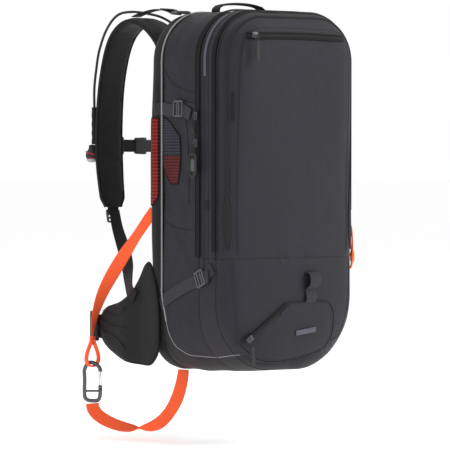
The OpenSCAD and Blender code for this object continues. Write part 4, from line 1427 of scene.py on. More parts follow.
# ---------------------------------------------------------------- side and front details
@dataclass
class Sides:
    """Piping, mesh windows, seams and compression straps of both sides."""

    web: float = 0.019

    def build(self, skin: Skin) -> None:
        """Makes the pieces of both sides."""
        self.piping(skin)
        self.windows(skin)
        self.straps(skin)
        self.seams(skin)

    def piping(self, skin: Skin) -> None:
        """The light piping at the rear band, which becomes the seam over the base cloth."""
        top = over(P.band, -0.0006, 0.116)
        depths = np.linspace(P.band - 0.0008, -0.170, 46)
        flat = [(float(y), float(seam_height(y))) for y in depths]
        right = skin.side(flat, 1, 0.0004)[::-1]
        left = skin.side(flat, -1, 0.0004)
        line = evenly(smooth_line(np.concatenate([right, top, left])[::3], 4), 560)
        sketch = Sketch("light_piping")
        radius = np.full(len(line), 0.00135)
        side_part = line[:, 2] < 0.075
        radius[side_part] = 0.0006
        sketch.tube(line, radius, Finish.PIPING, sides=8)
        place_piece(sketch.finish(), Body.PACK, "grey_piping", "piping")

    def windows(self, skin: Skin) -> None:
        """The red inlet mesh and the vent mesh, whose upper part is painted dark as shade, on both
        sides.
        """
        inlet = ((0.3805, -0.0300, -0.0145), (0.376, -0.0305, -0.0125), (0.33, -0.0305, -0.012),
                 (0.28, -0.0305, -0.012), (0.262, -0.0300, -0.012), (0.249, -0.0190, -0.0122))
        vent = ((0.3800, -0.0430, -0.0370), (0.374, -0.0560, -0.0365),
                (0.352, -0.0780, -0.0365), (0.330, -0.0795, -0.0365), (0.309, -0.0790, -0.0370),
                (0.296, -0.0775, -0.0440), (0.281, -0.0730, -0.0560))
        for sign, word in ((-1, "left"), (1, "right")):
            for name, rows, node in (("inlet", inlet, "inlet_meshes"),
                                     ("vent", vent, "vent_meshes")):
                sketch = Sketch(f"{name}_mesh_{word}")
                table = np.array(rows)
                heights = np.linspace(table[0, 0], table[-1, 0], 40)
                a = np.interp(-heights, -table[:, 0], table[:, 1])
                b = np.interp(-heights, -table[:, 0], table[:, 2])
                grid = []
                for z, y0, y1 in zip(heights, a, b):
                    flat = [(y, z) for y in np.linspace(y0, y1, 14)]
                    grid.append(skin.side(flat, sign, 0.0009))
                grid = np.array(grid)
                # Painted shade: the upper 55% of the vent gets lilac threads over near-black holes
                # for the shaded inside; the lower part is dark red where the red lining shows.
                if name == "vent":
                    cut = int(len(grid) * 0.55)
                    sketch.grid(grid[:cut + 1], Finish.LILAC)
                    sketch.grid(grid[cut:], Finish.DARKRED)
                else:
                    sketch.grid(grid, Finish.RED)
                edge = np.concatenate([grid[0], grid[1:-1, -1], grid[-1][::-1],
                                       grid[1:-1, 0][::-1]])
                sketch.tube(evenly(edge, 160, closed=True), 0.0008, Finish.BINDING, 8, True)
                made = sketch.finish()
                modify(made, "SOLIDIFY", thickness=0.0005, offset=-1.0)
                bake_modifiers(made)
                place_piece(made, Body.PACK, "red_mesh" if name == "inlet" else "dark_mesh",
                            *([node] if sign < 0 else []))

    def lock(self, sketch: Sketch, at: Point, along: Point, out: Point, width: float = 0.019,
             length: float = 0.021) -> None:
        """Adds a ladder-lock: a frame of two rails and four bars that webbing threads."""
        a, o = unit(np.array(along, float)), unit(np.array(out, float))
        a = unit(a - (a @ o) * o)
        axes = np.array([a, np.cross(o, a), o])
        at = np.array(at, float)
        for rail in (-1, 1):
            sketch.block(at + axes[1] * rail * (width / 2 + 0.0014), axes,
                         (length, 0.0030, 0.0036), Finish.GREY, 0.4)
        for k, bar in enumerate((-0.46, -0.14, 0.16, 0.46)):
            sketch.block(at + a * bar * length + o * (0.0010 if k % 2 else 0.0), axes,
                         (0.0030, width + 0.002, 0.0030), Finish.GREY, 0.4)

    def straps(self, skin: Skin) -> None:
        """Upper and lower compression straps with their locks and loose tails."""
        for sign, word in ((-1, "left"), (1, "right")):
            sketch = Sketch(f"compression_straps_{word}")
            flat = [(y, 0.3925 + 0.0015 * math.sin(k * 0.5)) for k, y in
                    enumerate(np.linspace(-0.0215, -0.1165, 24))]
            base = skin.side(flat, sign, 0.0012)
            sketch.ribbon(base, (0, 0, 1), self.web, 0.0016, Finish.WEB_GREY)
            tail = base[14:21] + np.array((sign * 0.0022, 0, 0)) + np.linspace(0, 1, 7)[:, None] \
                * np.array((sign * 0.0016, -0.004, -0.008))
            sketch.ribbon(tail, (0, 0.15, 1), self.web * 0.98, 0.0015, Finish.WEB_GREY)
            low = np.array([(-0.030, 0.101), (-0.052, 0.1125), (-0.078, 0.1235),
                            (-0.105, 0.1345), (-0.130, 0.1425), (-0.156, 0.1585)])
            lower = skin.side(smooth_line(low, 5), sign, 0.0012)
            way = lower[-1] - lower[0]
            across = np.cross(unit(way), (1, 0, 0))
            sketch.ribbon(lower, across, self.web, 0.0016, Finish.WEB_GREY)
            more = lower[19:26] + np.array((sign * 0.0026, 0, 0)) \
                + np.linspace(0, 1, 7)[:, None] * np.array((sign * 0.001, 0.006, -0.012))
            sketch.ribbon(more, across, self.web * 0.98, 0.0015, Finish.WEB_GREY)
            place_piece(sketch.finish(), Body.PACK, "grey_webbing",
                        *(["compression_straps"] if sign < 0 else []))
            locks = Sketch(f"compression_locks_{word}")
            at = base[14] + np.array((sign * 0.0026, 0, 0))
            self.lock(locks, at, (0, 1, 0), (sign, 0, 0))
            at = lower[20] + np.array((sign * 0.0026, 0, 0))
            self.lock(locks, at, way, (sign, 0, 0))
            place_piece(locks.finish(), Body.PACK, "grey_plastic",
                        *(["compression_locks"] if sign < 0 else []))
            rows = []
            for strap, lean in ((base, (0, 0, 1)), (lower, tuple(across))):
                for k in (1, 2, len(strap) - 3, len(strap) - 2):
                    p, w = strap[k] + np.array((sign * 0.0010, 0, 0)), np.array(lean)
                    rows.append(np.array([p - w * 0.008, p + w * 0.008]))
            sew(Body.PACK, "grey_webbing", f"strap_tacks_{word}", rows, Finish.THREAD, 0.0016,
                0.0013, 0.00028)

    def seams(self, skin: Skin) -> None:
        """Raised seams and stitch lines on both sides."""
        cuts = {
            "fold": [(-0.036, 0.455), (-0.060, 0.432), (-0.090, 0.420), (-0.117, 0.416)],
            "gusset": [(-0.036, 0.226), (-0.070, 0.215), (-0.117, 0.212)],
            "dart": [(-0.088, 0.400), (-0.094, 0.36), (-0.098, 0.30), (-0.098, 0.25)],
        }
        lines, rows = Sketch("side_seams"), []
        for sign in (-1, 1):
            for flat in cuts.values():
                line = skin.side(smooth_line(flat, 8), sign, 0.0)
                lines.tube(line, 0.0009, Finish.BODY, sides=8)
                shift = np.array((sign * 0.0005, 0, 0.0024))
                rows.append(skin.on(line + shift + np.array((sign * 0.05, 0, 0)),
                                    (-sign, 0, 0), 0.0002))
        place_piece(lines.finish(), Body.PACK, "body_fabric")
        sew(Body.PACK, "body_fabric", "side_stitches", rows, Finish.THREAD, 0.0032, 0.0022,
            0.00022)


@dataclass
class Front:
    """Seams, pocket, ice-axe loop, haul loop and tabs of the front and the top."""

    def build(self, skin: Skin) -> None:
        """Makes the pieces of the front."""
        self.zip_groove(skin)
        self.seams(skin)
        self.pocket(skin)
        self.axe_loop()
        self.haul_loop()
        self.tabs(skin)
        self.print_marks(skin)

    def zip_groove(self, skin: Skin) -> None:
        """The dark groove round the front panel and its drop-shaped ends on the corners."""
        sketch = Sketch("panel_groove")
        sketch.tube(over(P.flap - 0.0165, 0.0112, 0.240), 0.0019, Finish.TAPE, sides=8)
        drop = closed_line([(0, 0.274), (-0.0056, 0.258), (-0.0072, 0.230), (-0.0056, 0.206),
                            (0, 0.184), (0.0066, 0.200), (0.0078, 0.228), (0.0060, 0.256)], 6)
        middle = drop.mean(axis=0)
        for sign in (-1, 1):
            rows = [skin.corner(drop + (middle - drop) * s, sign,
                                0.0004 + 0.0020 * math.sin(min(1.0, s * 2.2) * math.pi / 2))
                    for s in np.linspace(0, 1, 7)]
            sketch.grid(np.array(rows), Finish.TAPE, closed=True)
            sketch.tube(rows[0], 0.0015, Finish.BODY, sides=8, closed=True)
        made = sketch.finish(merge=1e-5)
        place_piece(made, Body.PANEL, "body_fabric")

    def seams(self, skin: Skin) -> None:
        """Raised seams on the front panel and on the lower body."""
        upper, lower = Sketch("front_seams"), Sketch("lower_seams")
        rim = over(P.flap - 0.004, 0.0036, 0.178)
        upper.tube(rim, 0.0010, Finish.PANEL, sides=8)
        upper.tube(over(P.flap - 0.0205, 0.0168, 0.196), 0.0010, Finish.PANEL, sides=8)
        inner = []
        for x, z in [(-0.103, 0.180), (-0.104, 0.25), (-0.104, 0.35), (-0.103, 0.45),
                     (-0.096, 0.492), (-0.080, 0.508), (-0.04, 0.512), (0.04, 0.512),
                     (0.086, 0.508), (0.100, 0.488), (0.104, 0.45), (0.104, 0.35),
                     (0.104, 0.25), (0.103, 0.180)]:
            inner.append((x, z))
        line = skin.front(smooth_line(inner, 8), -0.0002)
        upper.tube(line, 0.0008, Finish.PANEL, sides=8)
        place_piece(upper.finish(), Body.PANEL, "body_fabric")
        rows = [skin.front([(p[0] * 1.022, p[2]) for p in line], 0.0002)]
        sew(Body.PANEL, "body_fabric", "front_stitches", rows, Finish.THREAD, 0.0032, 0.0022,
            0.00022)
        cuts = ([(-0.112, 0.168), (-0.110, 0.12), (-0.104, 0.07), (-0.098, 0.045)],
                [(-0.096, 0.046), (-0.07, 0.072), (-0.044, 0.090), (-0.018, 0.108)],
                [(0.112, 0.168), (0.110, 0.12), (0.104, 0.08), (0.090, 0.052), (0.074, 0.046)])
        rows = []
        for flat in cuts:
            line = skin.front(smooth_line(flat, 8), -0.0002)
            lower.tube(line, 0.0009, Finish.PANEL, sides=8)
            rows.append(skin.front([(p[0] + 0.002, p[2] + 0.002) for p in line], 0.0002))
        place_piece(lower.finish(), Body.PACK, "body_fabric")
        sew(Body.PACK, "body_fabric", "lower_stitches", rows, Finish.THREAD, 0.0032, 0.0022,
            0.00022)

    def pocket(self, skin: Skin) -> None:
        """The low asymmetric front pocket, its zip, slider and pull."""
        outline = np.array([(-96, 46), (-87, 37), (-78, 30), (-60, 20), (-44, 17.4), (-27, 17),
                            (-6, 19), (15, 22), (36, 27), (57, 33), (67, 42), (74, 54),
                            (76, 67), (76, 80), (74, 91), (70, 100), (64, 105), (56, 107),
                            (30, 107.5), (0, 107), (-18, 106), (-38, 92), (-58, 77),
                            (-78, 61)]) * MM
        loop = evenly(closed_line(outline, 4), 150, closed=True)
        middle = np.array([-0.002, 0.062])
        sketch = Sketch("lower_pocket_cloth")
        rows = []
        for s in (0.0, 0.012, 0.03, 0.06, 0.1, 0.16, 0.24, 0.34, 0.46, 0.6, 0.76, 0.9, 1.0):
            flat = loop + (middle - loop) * s
            rise = 0.0005 + 0.0032 * math.sin(min(1.0, s * 4.5) * math.pi / 2) ** 0.7 \
                + 0.0010 * s
            crease = np.array([noise.noise(Vector((a * 30, b * 60, 0.4))) for a, b in flat])
            base = skin.front(flat, rise)
            base[:, 1] -= 0.0009 * crease * min(1.0, s * 6)
            rows.append(base)
        sketch.grid(np.array(rows), Finish.PANEL, closed=True,
                    uv=lambda p: (p[0] * 0.8 + p[2] * 0.6, p[2] * 0.8 - p[0] * 0.6))
        edge = rows[2] + np.array((0, -0.0004, 0))
        sketch.tube(edge, 0.0009, Finish.BASE, sides=8, closed=True)
        place_piece(sketch.finish(merge=1e-5), Body.PACK, "body_fabric", "lower_pocket")
        stitch = rows[4] + np.array((0, -0.0002, 0))
        sew(Body.PACK, "body_fabric", "pocket_stitches", [np.vstack([stitch, stitch[:1]])],
            Finish.THREAD, 0.0030, 0.0021, 0.00022)
        zipper = Sketch("pocket_zip_tape")
        run = [(-0.0925, 0.0485), (-0.07, 0.0655), (-0.045, 0.0845), (-0.019, 0.1035)]
        line = skin.front(smooth_line(run, 10), 0.0034)
        zipper.ribbon(line, (-0.6, 0, 0.8), 0.0075, 0.0010, Finish.TAPE, around=12)
        place_piece(zipper.finish(), Body.PACK, "zip_tape")
        sew(Body.PACK, "zip_tape", "pocket_zip_teeth", [line + np.array((0, -0.0009, 0))],
            Finish.BLACK, 0.0016, 0.003, 0.0005, math.pi / 2)
        slider = Sketch("pocket_slider_metal")
        Slider().add(slider, (-0.0888, -0.1936, 0.0544), (0.8, 0, 0.6), (0, -1, 0))
        place_piece(slider.finish(), "pocket_slider", "zip_metal", "pocket_slider")
        pull = Sketch("pocket_pull_tape")
        y = -0.2002
        Zips().cord_loop(pull, (-0.088, y, 0.0530), (-0.088, y, 0.0415), (1, 0, 0), gap=0.0018)
        line = np.array([(-0.088 + 0.0007 * math.sin(b * 90), y, b)
                         for b in np.linspace(0.0435, 0.0165, 12)])
        pull.ribbon(line, (1, 0, 0), np.linspace(0.0046, 0.0062, 12), 0.0022, Finish.BLACK)
        place_piece(pull.finish(), "pocket_pull", "black_plastic", "pocket_pull")

    def axe_loop(self) -> None:
        """The folded webbing loop for an ice axe."""
        x, wide = 0.026, 0.0195
        fold = [(-0.1885, 0.1485), (-0.1905, 0.1500), (-0.1950, 0.1490), (-0.1990, 0.1440),
                (-0.2005, 0.1370), (-0.1985, 0.1310), (-0.1930, 0.1275), (-0.1900, 0.1240),
                (-0.1915, 0.1190), (-0.1930, 0.1130), (-0.1915, 0.1075), (-0.1900, 0.1045)]
        flat = smooth_line(fold, 7)
        line = np.array([(x + 0.0015 * (b - 0.13) / 0.02, a - 0.0055, b) for a, b in flat])
        sketch = Sketch("ice_axe_loop_webbing")
        sketch.ribbon(line, (1, 0, 0.06), wide, 0.0017, Finish.WEB_GREY)
        under = np.array([(x, -0.1952, b) for b in np.linspace(0.1500, 0.1060, 14)])
        sketch.ribbon(under, (1, 0, 0), wide + 0.004, 0.0012, Finish.WEB_BLACK)
        place_piece(sketch.finish(), Body.PACK, "grey_webbing", "ice_axe_loop")
        rows = [np.array([(x - 0.0085, -0.1972, z), (x + 0.0085, -0.1972, z)])
                for z in (0.1494, 0.1482)]
        sew(Body.PACK, "grey_webbing", "ice_axe_loop_tacks", rows, Finish.THREAD, 0.0016, 0.0013,
            0.00028)

    def haul_loop(self) -> None:
        """The grab loop on top."""
        t = np.linspace(0, 1, 42)
        x = 0.0445 * np.cos(math.pi * t)
        z = P.top - 0.0010 + 0.0150 * np.sin(math.pi * t) ** 0.55
        y = -0.055 + 0.0015 * np.sin(math.pi * t)
        line = np.column_stack([x, y, z])
        sketch = Sketch("haul_loop_webbing")
        sketch.ribbon(line, (0, 1, 0), 0.0195 - 0.006 * np.sin(math.pi * t) ** 2,
                      0.0022 + 0.0016 * np.sin(math.pi * t) ** 2, Finish.WEB_BLACK)
        place_piece(sketch.finish(), Body.PACK, "dark_webbing", "haul_loop")
        rows = []
        for sign in (-1, 1):
            for off in (0.0385, 0.0400):
                z0 = float(np.interp(off, x[:21][::-1], z[:21][::-1])) + 0.0016
                rows.append(np.array([(sign * off, -0.063, z0), (sign * off, -0.047, z0)]))
        sew(Body.PACK, "dark_webbing", "haul_loop_tacks", rows, Finish.THREAD, 0.0016, 0.0013,
            0.00028)

    def tabs(self, skin: Skin) -> None:
        """Small sewn tabs, bar tacks and the reflective strip."""
        pack, panel = Sketch("flap_tabs"), Sketch("panel_tabs")
        strip = over(P.main - 0.0130, 0.0008, 0.440)
        left = strip[strip[:, 0] < -0.085][:60]
        pack.ribbon(left, (0, 1, 0), 0.0062, 0.0008, Finish.REFLECT, around=10)
        square = skin.side([(P.main - 0.0160, z) for z in np.linspace(0.243, 0.257, 6)], -1,
                           0.0006)
        pack.ribbon(square, (0, 1, 0), 0.013, 0.0012, Finish.WEB_BLACK)
        place_piece(pack.finish(), Body.FLAP, "body_fabric")
        tab = skin.front([(x, 0.395) for x in (-0.1155, -0.113, -0.1105)], 0.0006)
        line = np.array([tab[1] + np.array((0, 0, d)) for d in np.linspace(-0.02, 0.02, 8)])
        panel.ribbon(line, (1, -0.6, 0), 0.0050, 0.0014, Finish.WEB_BLACK)
        place_piece(panel.finish(), Body.PANEL, "body_fabric")
        edge = [(P.main - 0.0160 + a, b) for a, b in
                ((-0.005, 0.2448), (0.005, 0.2448), (0.005, 0.2552), (-0.005, 0.2552),
                 (-0.005, 0.2448))]
        rows = [skin.side(edge, -1, 0.0014)]
        sew(Body.FLAP, "body_fabric", "tab_stitches", rows, Finish.THREAD, 0.0022, 0.0016, 0.00025)
        tack = Sketch("bar_tack")
        line = skin.front([(x, 0.094 + (x + 0.026) * 0.7) for x in np.linspace(-0.034, -0.022, 5)],
                          0.0046)
        tack.ribbon(line, (0.5, 0, -0.8), 0.0034, 0.0010, Finish.THREAD)
        place_piece(tack.finish(), Body.PACK, "body_fabric")

    def print_marks(self, skin: Skin) -> None:
        """A plain pale bar printed on the pocket: a neutral reflective patch."""
        sketch = Sketch("reflective_patch")
        rows = []
        for z in np.linspace(0.0585, 0.0665, 5):
            rows.append(skin.front([(x, z + (x - 0.015) * 0.12) for x in
                                    np.linspace(-0.004, 0.034, 24)], 0.0062))
        sketch.grid(np.array(rows), Finish.REFLECT)
        made = sketch.finish()
        modify(made, "SOLIDIFY", thickness=0.0004, offset=-1.0)
        bake_modifiers(made)
        place_piece(made, Body.PACK, "grey_piping")


# ---------------------------------------------------------------- harness
@dataclass
class Harness:
    """Back pads, shoulder straps, lifters, webbing, sternum strap and release handle."""

    strap: tuple = ((8, 444), (20, 490), (58, 522), (102, 530), (145, 504), (170, 442),
                    (180, 360), (178, 300), (170, 244))
    lifter: tuple = ((-74, 108, 539), (-77, 80, 544), (-81, 40, 547), (-86, 5, 543),
                     (-89, -16, 537))
    lower: tuple = ((-72, 168, 236), (-76, 155, 212), (-88, 122, 180), (-104, 90, 155),
                    (-121, 64, 136), (-140, 34, 118), (-141, 20, 110))
    lower_wide: tuple = ((1, 0, -.1), (1, -.2, -.1), (.8, -.5, .2), (.6, -.7, .5),
                         (.3, -.6, .7), (.1, -.5, .8), (.1, -.5, .9))
    cable: tuple = ((-95, 190, 400), (-95, 190, 430), (-94, 186, 460), (-92, 181, 488),
                    (-89, 166, 520), (-84, 144, 542), (-74, 120, 547), (-60, 92, 543),
                    (-54, 62, 535), (-46, 34, 518), (-42, 14, 500), (-42, 0, 486),
                    (-42, -7, 480))

    def build(self) -> None:
        """Makes the harness."""
        self.pads()
        for sign, word in ((-1, "left"), (1, "right")):
            self.shoulder(sign, word)
            self.webbings(sign, word)
        self.sternum()
        self.handle()

    def padded(self, name: str, loop: np.ndarray, place: Callable, thick: float,
               finish: Finish, body: Body, nodes: Sequence[str], slot: str, swell: float,
               medial: float = 0.0) -> bpy.types.Object:
        """Args:
            name: the piece's name.
            loop: its outline, as (a, b).
            place: turns (a, b, height) into a point.
            thick: its thickness.
            finish: its cloth.
            body: what it rides on.
            nodes: the CAD nodes that it stands for.
            slot: its material slot, which is not used.
            swell: how far the cloth may move.
            medial: half the length of its middle line.

        Returns:
            The piece.
        """
        sketch = Sketch(name)
        sketch.pillow(loop, place, thick, finish, medial=medial)
        made = sketch.finish(merge=1e-5)
        relax(made, swell)
        place_piece(made, body, slot, *nodes)
        return made

    def pads(self) -> None:
        """Three foam pads on the back panel with ribs pressed into them."""
        def outline(w: float, h: float, x: float, z: float) -> np.ndarray:
            """A rounded rectangle."""
            r = 0.022
            pts = []
            for cx, cz, a0 in ((w / 2 - r, r, -90), (w / 2 - r, h - r, 0),
                               (r - w / 2, h - r, 90), (r - w / 2, r, 180)):
                for a in np.linspace(a0, a0 + 90, 9):
                    pts.append((x + cx + r * math.cos(math.radians(a)),
                                z + cz + r * math.sin(math.radians(a))))
            return evenly(np.array(pts), 120, closed=True)
        for name, w, h, x, z in (("back_pad_left", 0.066, 0.300, -0.062, 0.130),
                                 ("back_pad_right", 0.066, 0.300, 0.062, 0.130),
                                 ("lumbar_pad_cloth", 0.196, 0.100, 0.0, 0.018)):
            tall = name != "lumbar_pad_cloth"

            def place(a: float, b: float, height: float, mid: float = z + h / 2) -> Point:
                """Puts a pad's point on the back, with shallow ribs across it."""
                rib = 0.0012 * math.cos((b - mid) * 2 * math.pi / 0.042) if height > 0.001 else 0
                return (a, -0.0040 + height + rib * (1 if height > 0 else 0), b)
            node = {"back_pad_left": ["back_pads"], "lumbar_pad_cloth": ["lumbar_pad"]}
            self.padded(name, outline(w, h, x, z), place, 0.0072, Finish.PAD, Body.PACK,
                        node.get(name, []), "spacer_mesh", 0.003,
                        medial=0.11 if tall else 0.0)

    def shoulder(self, sign: int, word: str) -> None:
        """One shoulder strap: curved foam with bound edges and quilting seams."""
        flat = smooth_line(np.array(self.strap) * MM, 14)
        flat = evenly(flat, 110)
        count = len(flat)
        t = np.linspace(0, 1, count)
        width = 0.0465 - 0.005 * step(0.80, 1.0, t) - 0.013 * step(0.955, 1.0, t) ** 2 \
            - 0.004 * (1 - step(0, 0.12, t)) \
            + 0.0015 * np.sin(t * 9)
        thick = 0.0118 * (1 - 0.35 * step(0.93, 1, t))
        centre = sign * (0.0742 + 0.0012 * np.sin(t * 4))
        line = np.column_stack([centre, flat[:, 0], flat[:, 1]])
        ahead = unit(np.gradient(line, axis=0))
        side = np.broadcast_to(np.array((1.0, 0, 0)), line.shape)
        up = unit(np.cross(ahead, side))
        if up[40] @ np.array((0, 1, 0)) < 0:
            up = -up
        turns = np.linspace(0, 2 * math.pi, 40, endpoint=False)
        x = np.sign(np.cos(turns)) * np.abs(np.cos(turns)) ** 0.45
        y = np.sign(np.sin(turns)) * np.abs(np.sin(turns)) ** 0.75
        rows = []
        for i in range(count):
            quilt = 1 - 0.30 * np.exp(-(((t[i] - 0.025 * x) * 9) % 1.0 - 0.5) ** 2 / 0.008)
            edge = 1 - 0.45 * np.abs(x) ** 6
            rows.append(line[i] + width[i] / 2 * x[:, None] * side[i]
                        + thick[i] / 2 * (y * quilt * edge)[:, None] * up[i])
        sketch = Sketch(f"shoulder_strap_{word}")
        sketch.grid(np.array(rows), Finish.BACK, closed=True, caps=True)
        for edge in (-1, 1):
            rim = line + side * (width / 2 * edge)[:, None]
            sketch.ribbon(rim, up, 0.0064, 0.0026, Finish.BINDING, around=12)
        made = place_piece(sketch.finish(merge=1e-6), Body.PACK, "strap_fabric",
                           *(["shoulder_straps"] if sign < 0 else []))
        seams = []
        for k in range(9):
            mid = (k + 0.5) / 9
            run = []
            for v in np.linspace(-0.84, 0.84, 14):
                at = mid + v * 0.025
                i = min(count - 1, max(0, int(at * (count - 1))))
                run.append(line[i] + side[i] * width[i] / 2 * v + up[i] * (thick[i] / 2 * 0.88))
            seams.append(np.array(run))
            seams.append(np.array(run) + ahead[int(mid * (count - 1))] * 0.0035)
        sew(Body.PACK, "strap_fabric", f"shoulder_stitches_{word}", seams, Finish.THREAD, 0.0032,
            0.0023, 0.00028)
        web = Sketch(f"strap_daisy_webbing_{word}")
        part = slice(int(count * 0.46), int(count * 0.97))
        web.ribbon(line[part] + up[part] * (thick[part] / 2 * 0.97 + 0.0005)[:, None],
                   side[part], 0.0195, 0.0015, Finish.WEB_BLACK)
        place_piece(web.finish(), Body.PACK, "dark_webbing")

    def webbings(self, sign: int, word: str) -> None:
        """Load lifter, strap lock and the long lower webbing of one side."""
        flip = np.array((-sign, 1, 1)) if sign > 0 else np.array((1, 1, 1))
        lift = smooth_line(np.array(self.lifter) * MM, 8) * flip
        sketch = Sketch(f"load_lifter_{word}")
        sketch.ribbon(lift, (1, 0, 0), 0.0178, 0.0015, Finish.WEB_BLACK)
        tail = lift[20:30] + np.linspace(0, 1, len(lift[20:30]))[:, None] \
            * np.array((0, 0.004, 0.003)) + np.array((0, 0, 0.0018))
        sketch.ribbon(tail, (1, 0.05, 0), 0.0172, 0.0014, Finish.WEB_BLACK)
        place_piece(sketch.finish(), Body.PACK, "dark_webbing",
                    *(["load_lifters"] if sign < 0 else []))
        locks = Sketch(f"lifter_lock_{word}")
        way = lift[-1] - lift[-4]
        Sides().lock(locks, lift[-1] + np.array((0, -0.010, 0.0022)), way, (0, 0, 1), 0.0185)
        place_piece(locks.finish(), Body.PACK, "grey_plastic",
                    *(["lifter_locks"] if sign < 0 else []))
        low = smooth_line(np.array(self.lower) * MM, 10) * flip
        wide = smooth_line(self.lower_wide, 10) * flip
        sketch = Sketch(f"lower_webbing_{word}")
        sketch.ribbon(low, wide, 0.0198, 0.0016, Finish.WEB_BLACK)
        place_piece(sketch.finish(), Body.PACK, "dark_webbing",
                    *(["strap_webbing"] if sign < 0 else []))
        lock = Sketch(f"strap_lock_{word}")
        x = sign * 0.072
        Sides().lock(lock, (x, 0.1715, 0.2300), (0, -0.22, -1), (0, 1, -0.2), 0.0195, 0.020)
        loop = np.array([(x, 0.1700, 0.2445), (x, 0.1712, 0.238), (x, 0.1735, 0.2345),
                         (x, 0.1745, 0.238), (x, 0.1728, 0.2445)])
        lock.ribbon(smooth_line(loop, 5), (1, 0, 0), 0.0185, 0.0014, Finish.WEB_BLACK)
        place_piece(lock.finish(), Body.PACK, "black_plastic",
                    *(["strap_locks"] if sign < 0 else []))

    def sternum(self) -> None:
        """The chest strap with its buckle and two sliders."""
        z, y = 0.340, 0.1886
        sketch = Sketch("sternum_webbing")
        line = np.column_stack([np.linspace(-0.072, 0.072, 40), np.full(40, y), np.full(40, z)])
        sketch.ribbon(line, (0, 0, 1), 0.0195, 0.0016, Finish.WEB_BLACK)
        tail = np.array([(0.020, y + 0.0018, z), (0.032, y + 0.0022, z - 0.0005),
                         (0.046, y + 0.0016, z - 0.0015), (0.055, y + 0.0020, z - 0.003)])
        sketch.ribbon(smooth_line(tail, 5), (0, 0, 1), 0.019, 0.0015, Finish.WEB_BLACK)
        for x in (-0.049, 0.049):
            for d in (-0.0075, 0.0, 0.0075):
                sketch.block((x + d, y + 0.0002, z), np.eye(3), (0.0030, 0.0052, 0.0268),
                             Finish.BLACK, 0.4)
            for up in (-0.0125, 0.0125):
                sketch.block((x, y + 0.0002, z + up), np.eye(3), (0.018, 0.0050, 0.0032),
                             Finish.BLACK, 0.4)
        sketch.block((-0.0075, y + 0.0006, z), np.eye(3), (0.020, 0.0072, 0.0262), Finish.BLACK,
                     0.3)
        sketch.block((0.0085, y + 0.0002, z), np.eye(3), (0.018, 0.0056, 0.0195), Finish.BLACK,
                     0.3)
        for up in (-0.0108, 0.0108):
            sketch.block((-0.0010, y + 0.0008, z + up), np.eye(3), (0.0125, 0.0046, 0.0052),
                         Finish.GREY, 0.5)
        place_piece(sketch.finish(), Body.STERNUM, "dark_webbing", "sternum_strap")

    def handle(self) -> None:
        """The release handle, its sleeve and its cable."""
        x, y, z = -0.095, 0.1965, 0.328
        turn = np.linspace(0, 2 * math.pi, 28, endpoint=False)

        def lathe(sketch: Sketch, profile: Iterable[Point], finish: Finish) -> None:
            """Turns a profile of (radius, height) about the handle's axis."""
            rows = [[(x + 1.12 * r * math.cos(a), y + 1.02 * r * math.sin(a), z + 1.1 * h)
                     for a in turn]
                    for r, h in profile]
            sketch.grid(np.array(rows), finish, closed=True)
        sketch = Sketch("release_grip")
        lathe(sketch, [(0.0001, 0.0124), (0.0034, 0.0122), (0.0046, 0.0105), (0.0048, 0.0070),
                       (0.0062, 0.0045), (0.0082, 0.0020), (0.0092, -0.0015),
                       (0.0090, -0.0050), (0.0080, -0.0066), (0.0001, -0.0068)], Finish.BLACK)
        lathe(sketch, [(0.0001, -0.0060), (0.0078, -0.0062), (0.0084, -0.0072),
                       (0.0078, -0.0082), (0.0001, -0.0084)], Finish.RED_PLASTIC)
        lathe(sketch, [(0.0001, -0.0076), (0.0082, -0.0078), (0.0080, -0.0096),
                       (0.0064, -0.0118), (0.0036, -0.0130), (0.0001, -0.0134)], Finish.LIGHT)
        band = np.array([(x + 0.0104 * math.cos(a), y + 0.0096 * math.sin(a),
                          z - 0.0005 + 0.0030 * math.cos(a - 2.4)) for a in turn])
        sketch.tube(band, 0.0009, Finish.RED_PLASTIC, sides=8, closed=True)
        place_piece(sketch.finish(merge=2e-5), Body.HANDLE, "black_plastic",
                    "release_handle")
        sleeve = Sketch("handle_sleeve_cloth")
        line = np.column_stack([np.full(24, x), np.full(24, 0.1905),
                                np.linspace(0.342, 0.400, 24)])
        sleeve.tube(line, 0.0040 + 0.0003 * np.sin(np.linspace(0, 26, 24)), Finish.BACK, 16)
        place_piece(sleeve.finish(), Body.PACK, "strap_fabric", "handle_sleeve")
        cable = Sketch("release_cable_sheath")
        route = smooth_line(np.array(self.cable) * MM, 8)
        cable.tube(route, 0.0020, Finish.RUBBER, sides=12)
        place_piece(cable.finish(), Body.PACK, "rubber", "release_cable")


def relax(made: bpy.types.Object, swell: float) -> None:
    """Lets a pad's cloth swell under pressure, and holds how far it moves.

    Args:
        made: the pad.
        swell: the most that a point may move, in metres.
    """
    scene = bpy.context.scene
    before = np.array([v.co[:] for v in made.data.vertices])
    added = made.modifiers.new("cloth", "CLOTH")
    own = added.settings
    own.use_pressure, own.uniform_pressure_force = True, 4.0
    own.quality, own.mass = 5, 0.3
    own.effector_weights.gravity = 0.0
    added.point_cache.frame_start, added.point_cache.frame_end = 1, 14
    for frame_number in range(1, 15):
        scene.frame_set(frame_number)
    seen = made.evaluated_get(bpy.context.evaluated_depsgraph_get())
    after = np.array([v.co[:] for v in seen.data.vertices])
    made.modifiers.clear()
    move = after - before
    far = np.linalg.norm(move, axis=1, keepdims=True)
    move *= np.minimum(1.0, swell * 0.35 / np.maximum(far, 1e-9))
    flat = (before + move).astype(np.float32).ravel()
    made.data.vertices.foreach_set("co", flat)
    made.data.update()
    scene.frame_set(1)


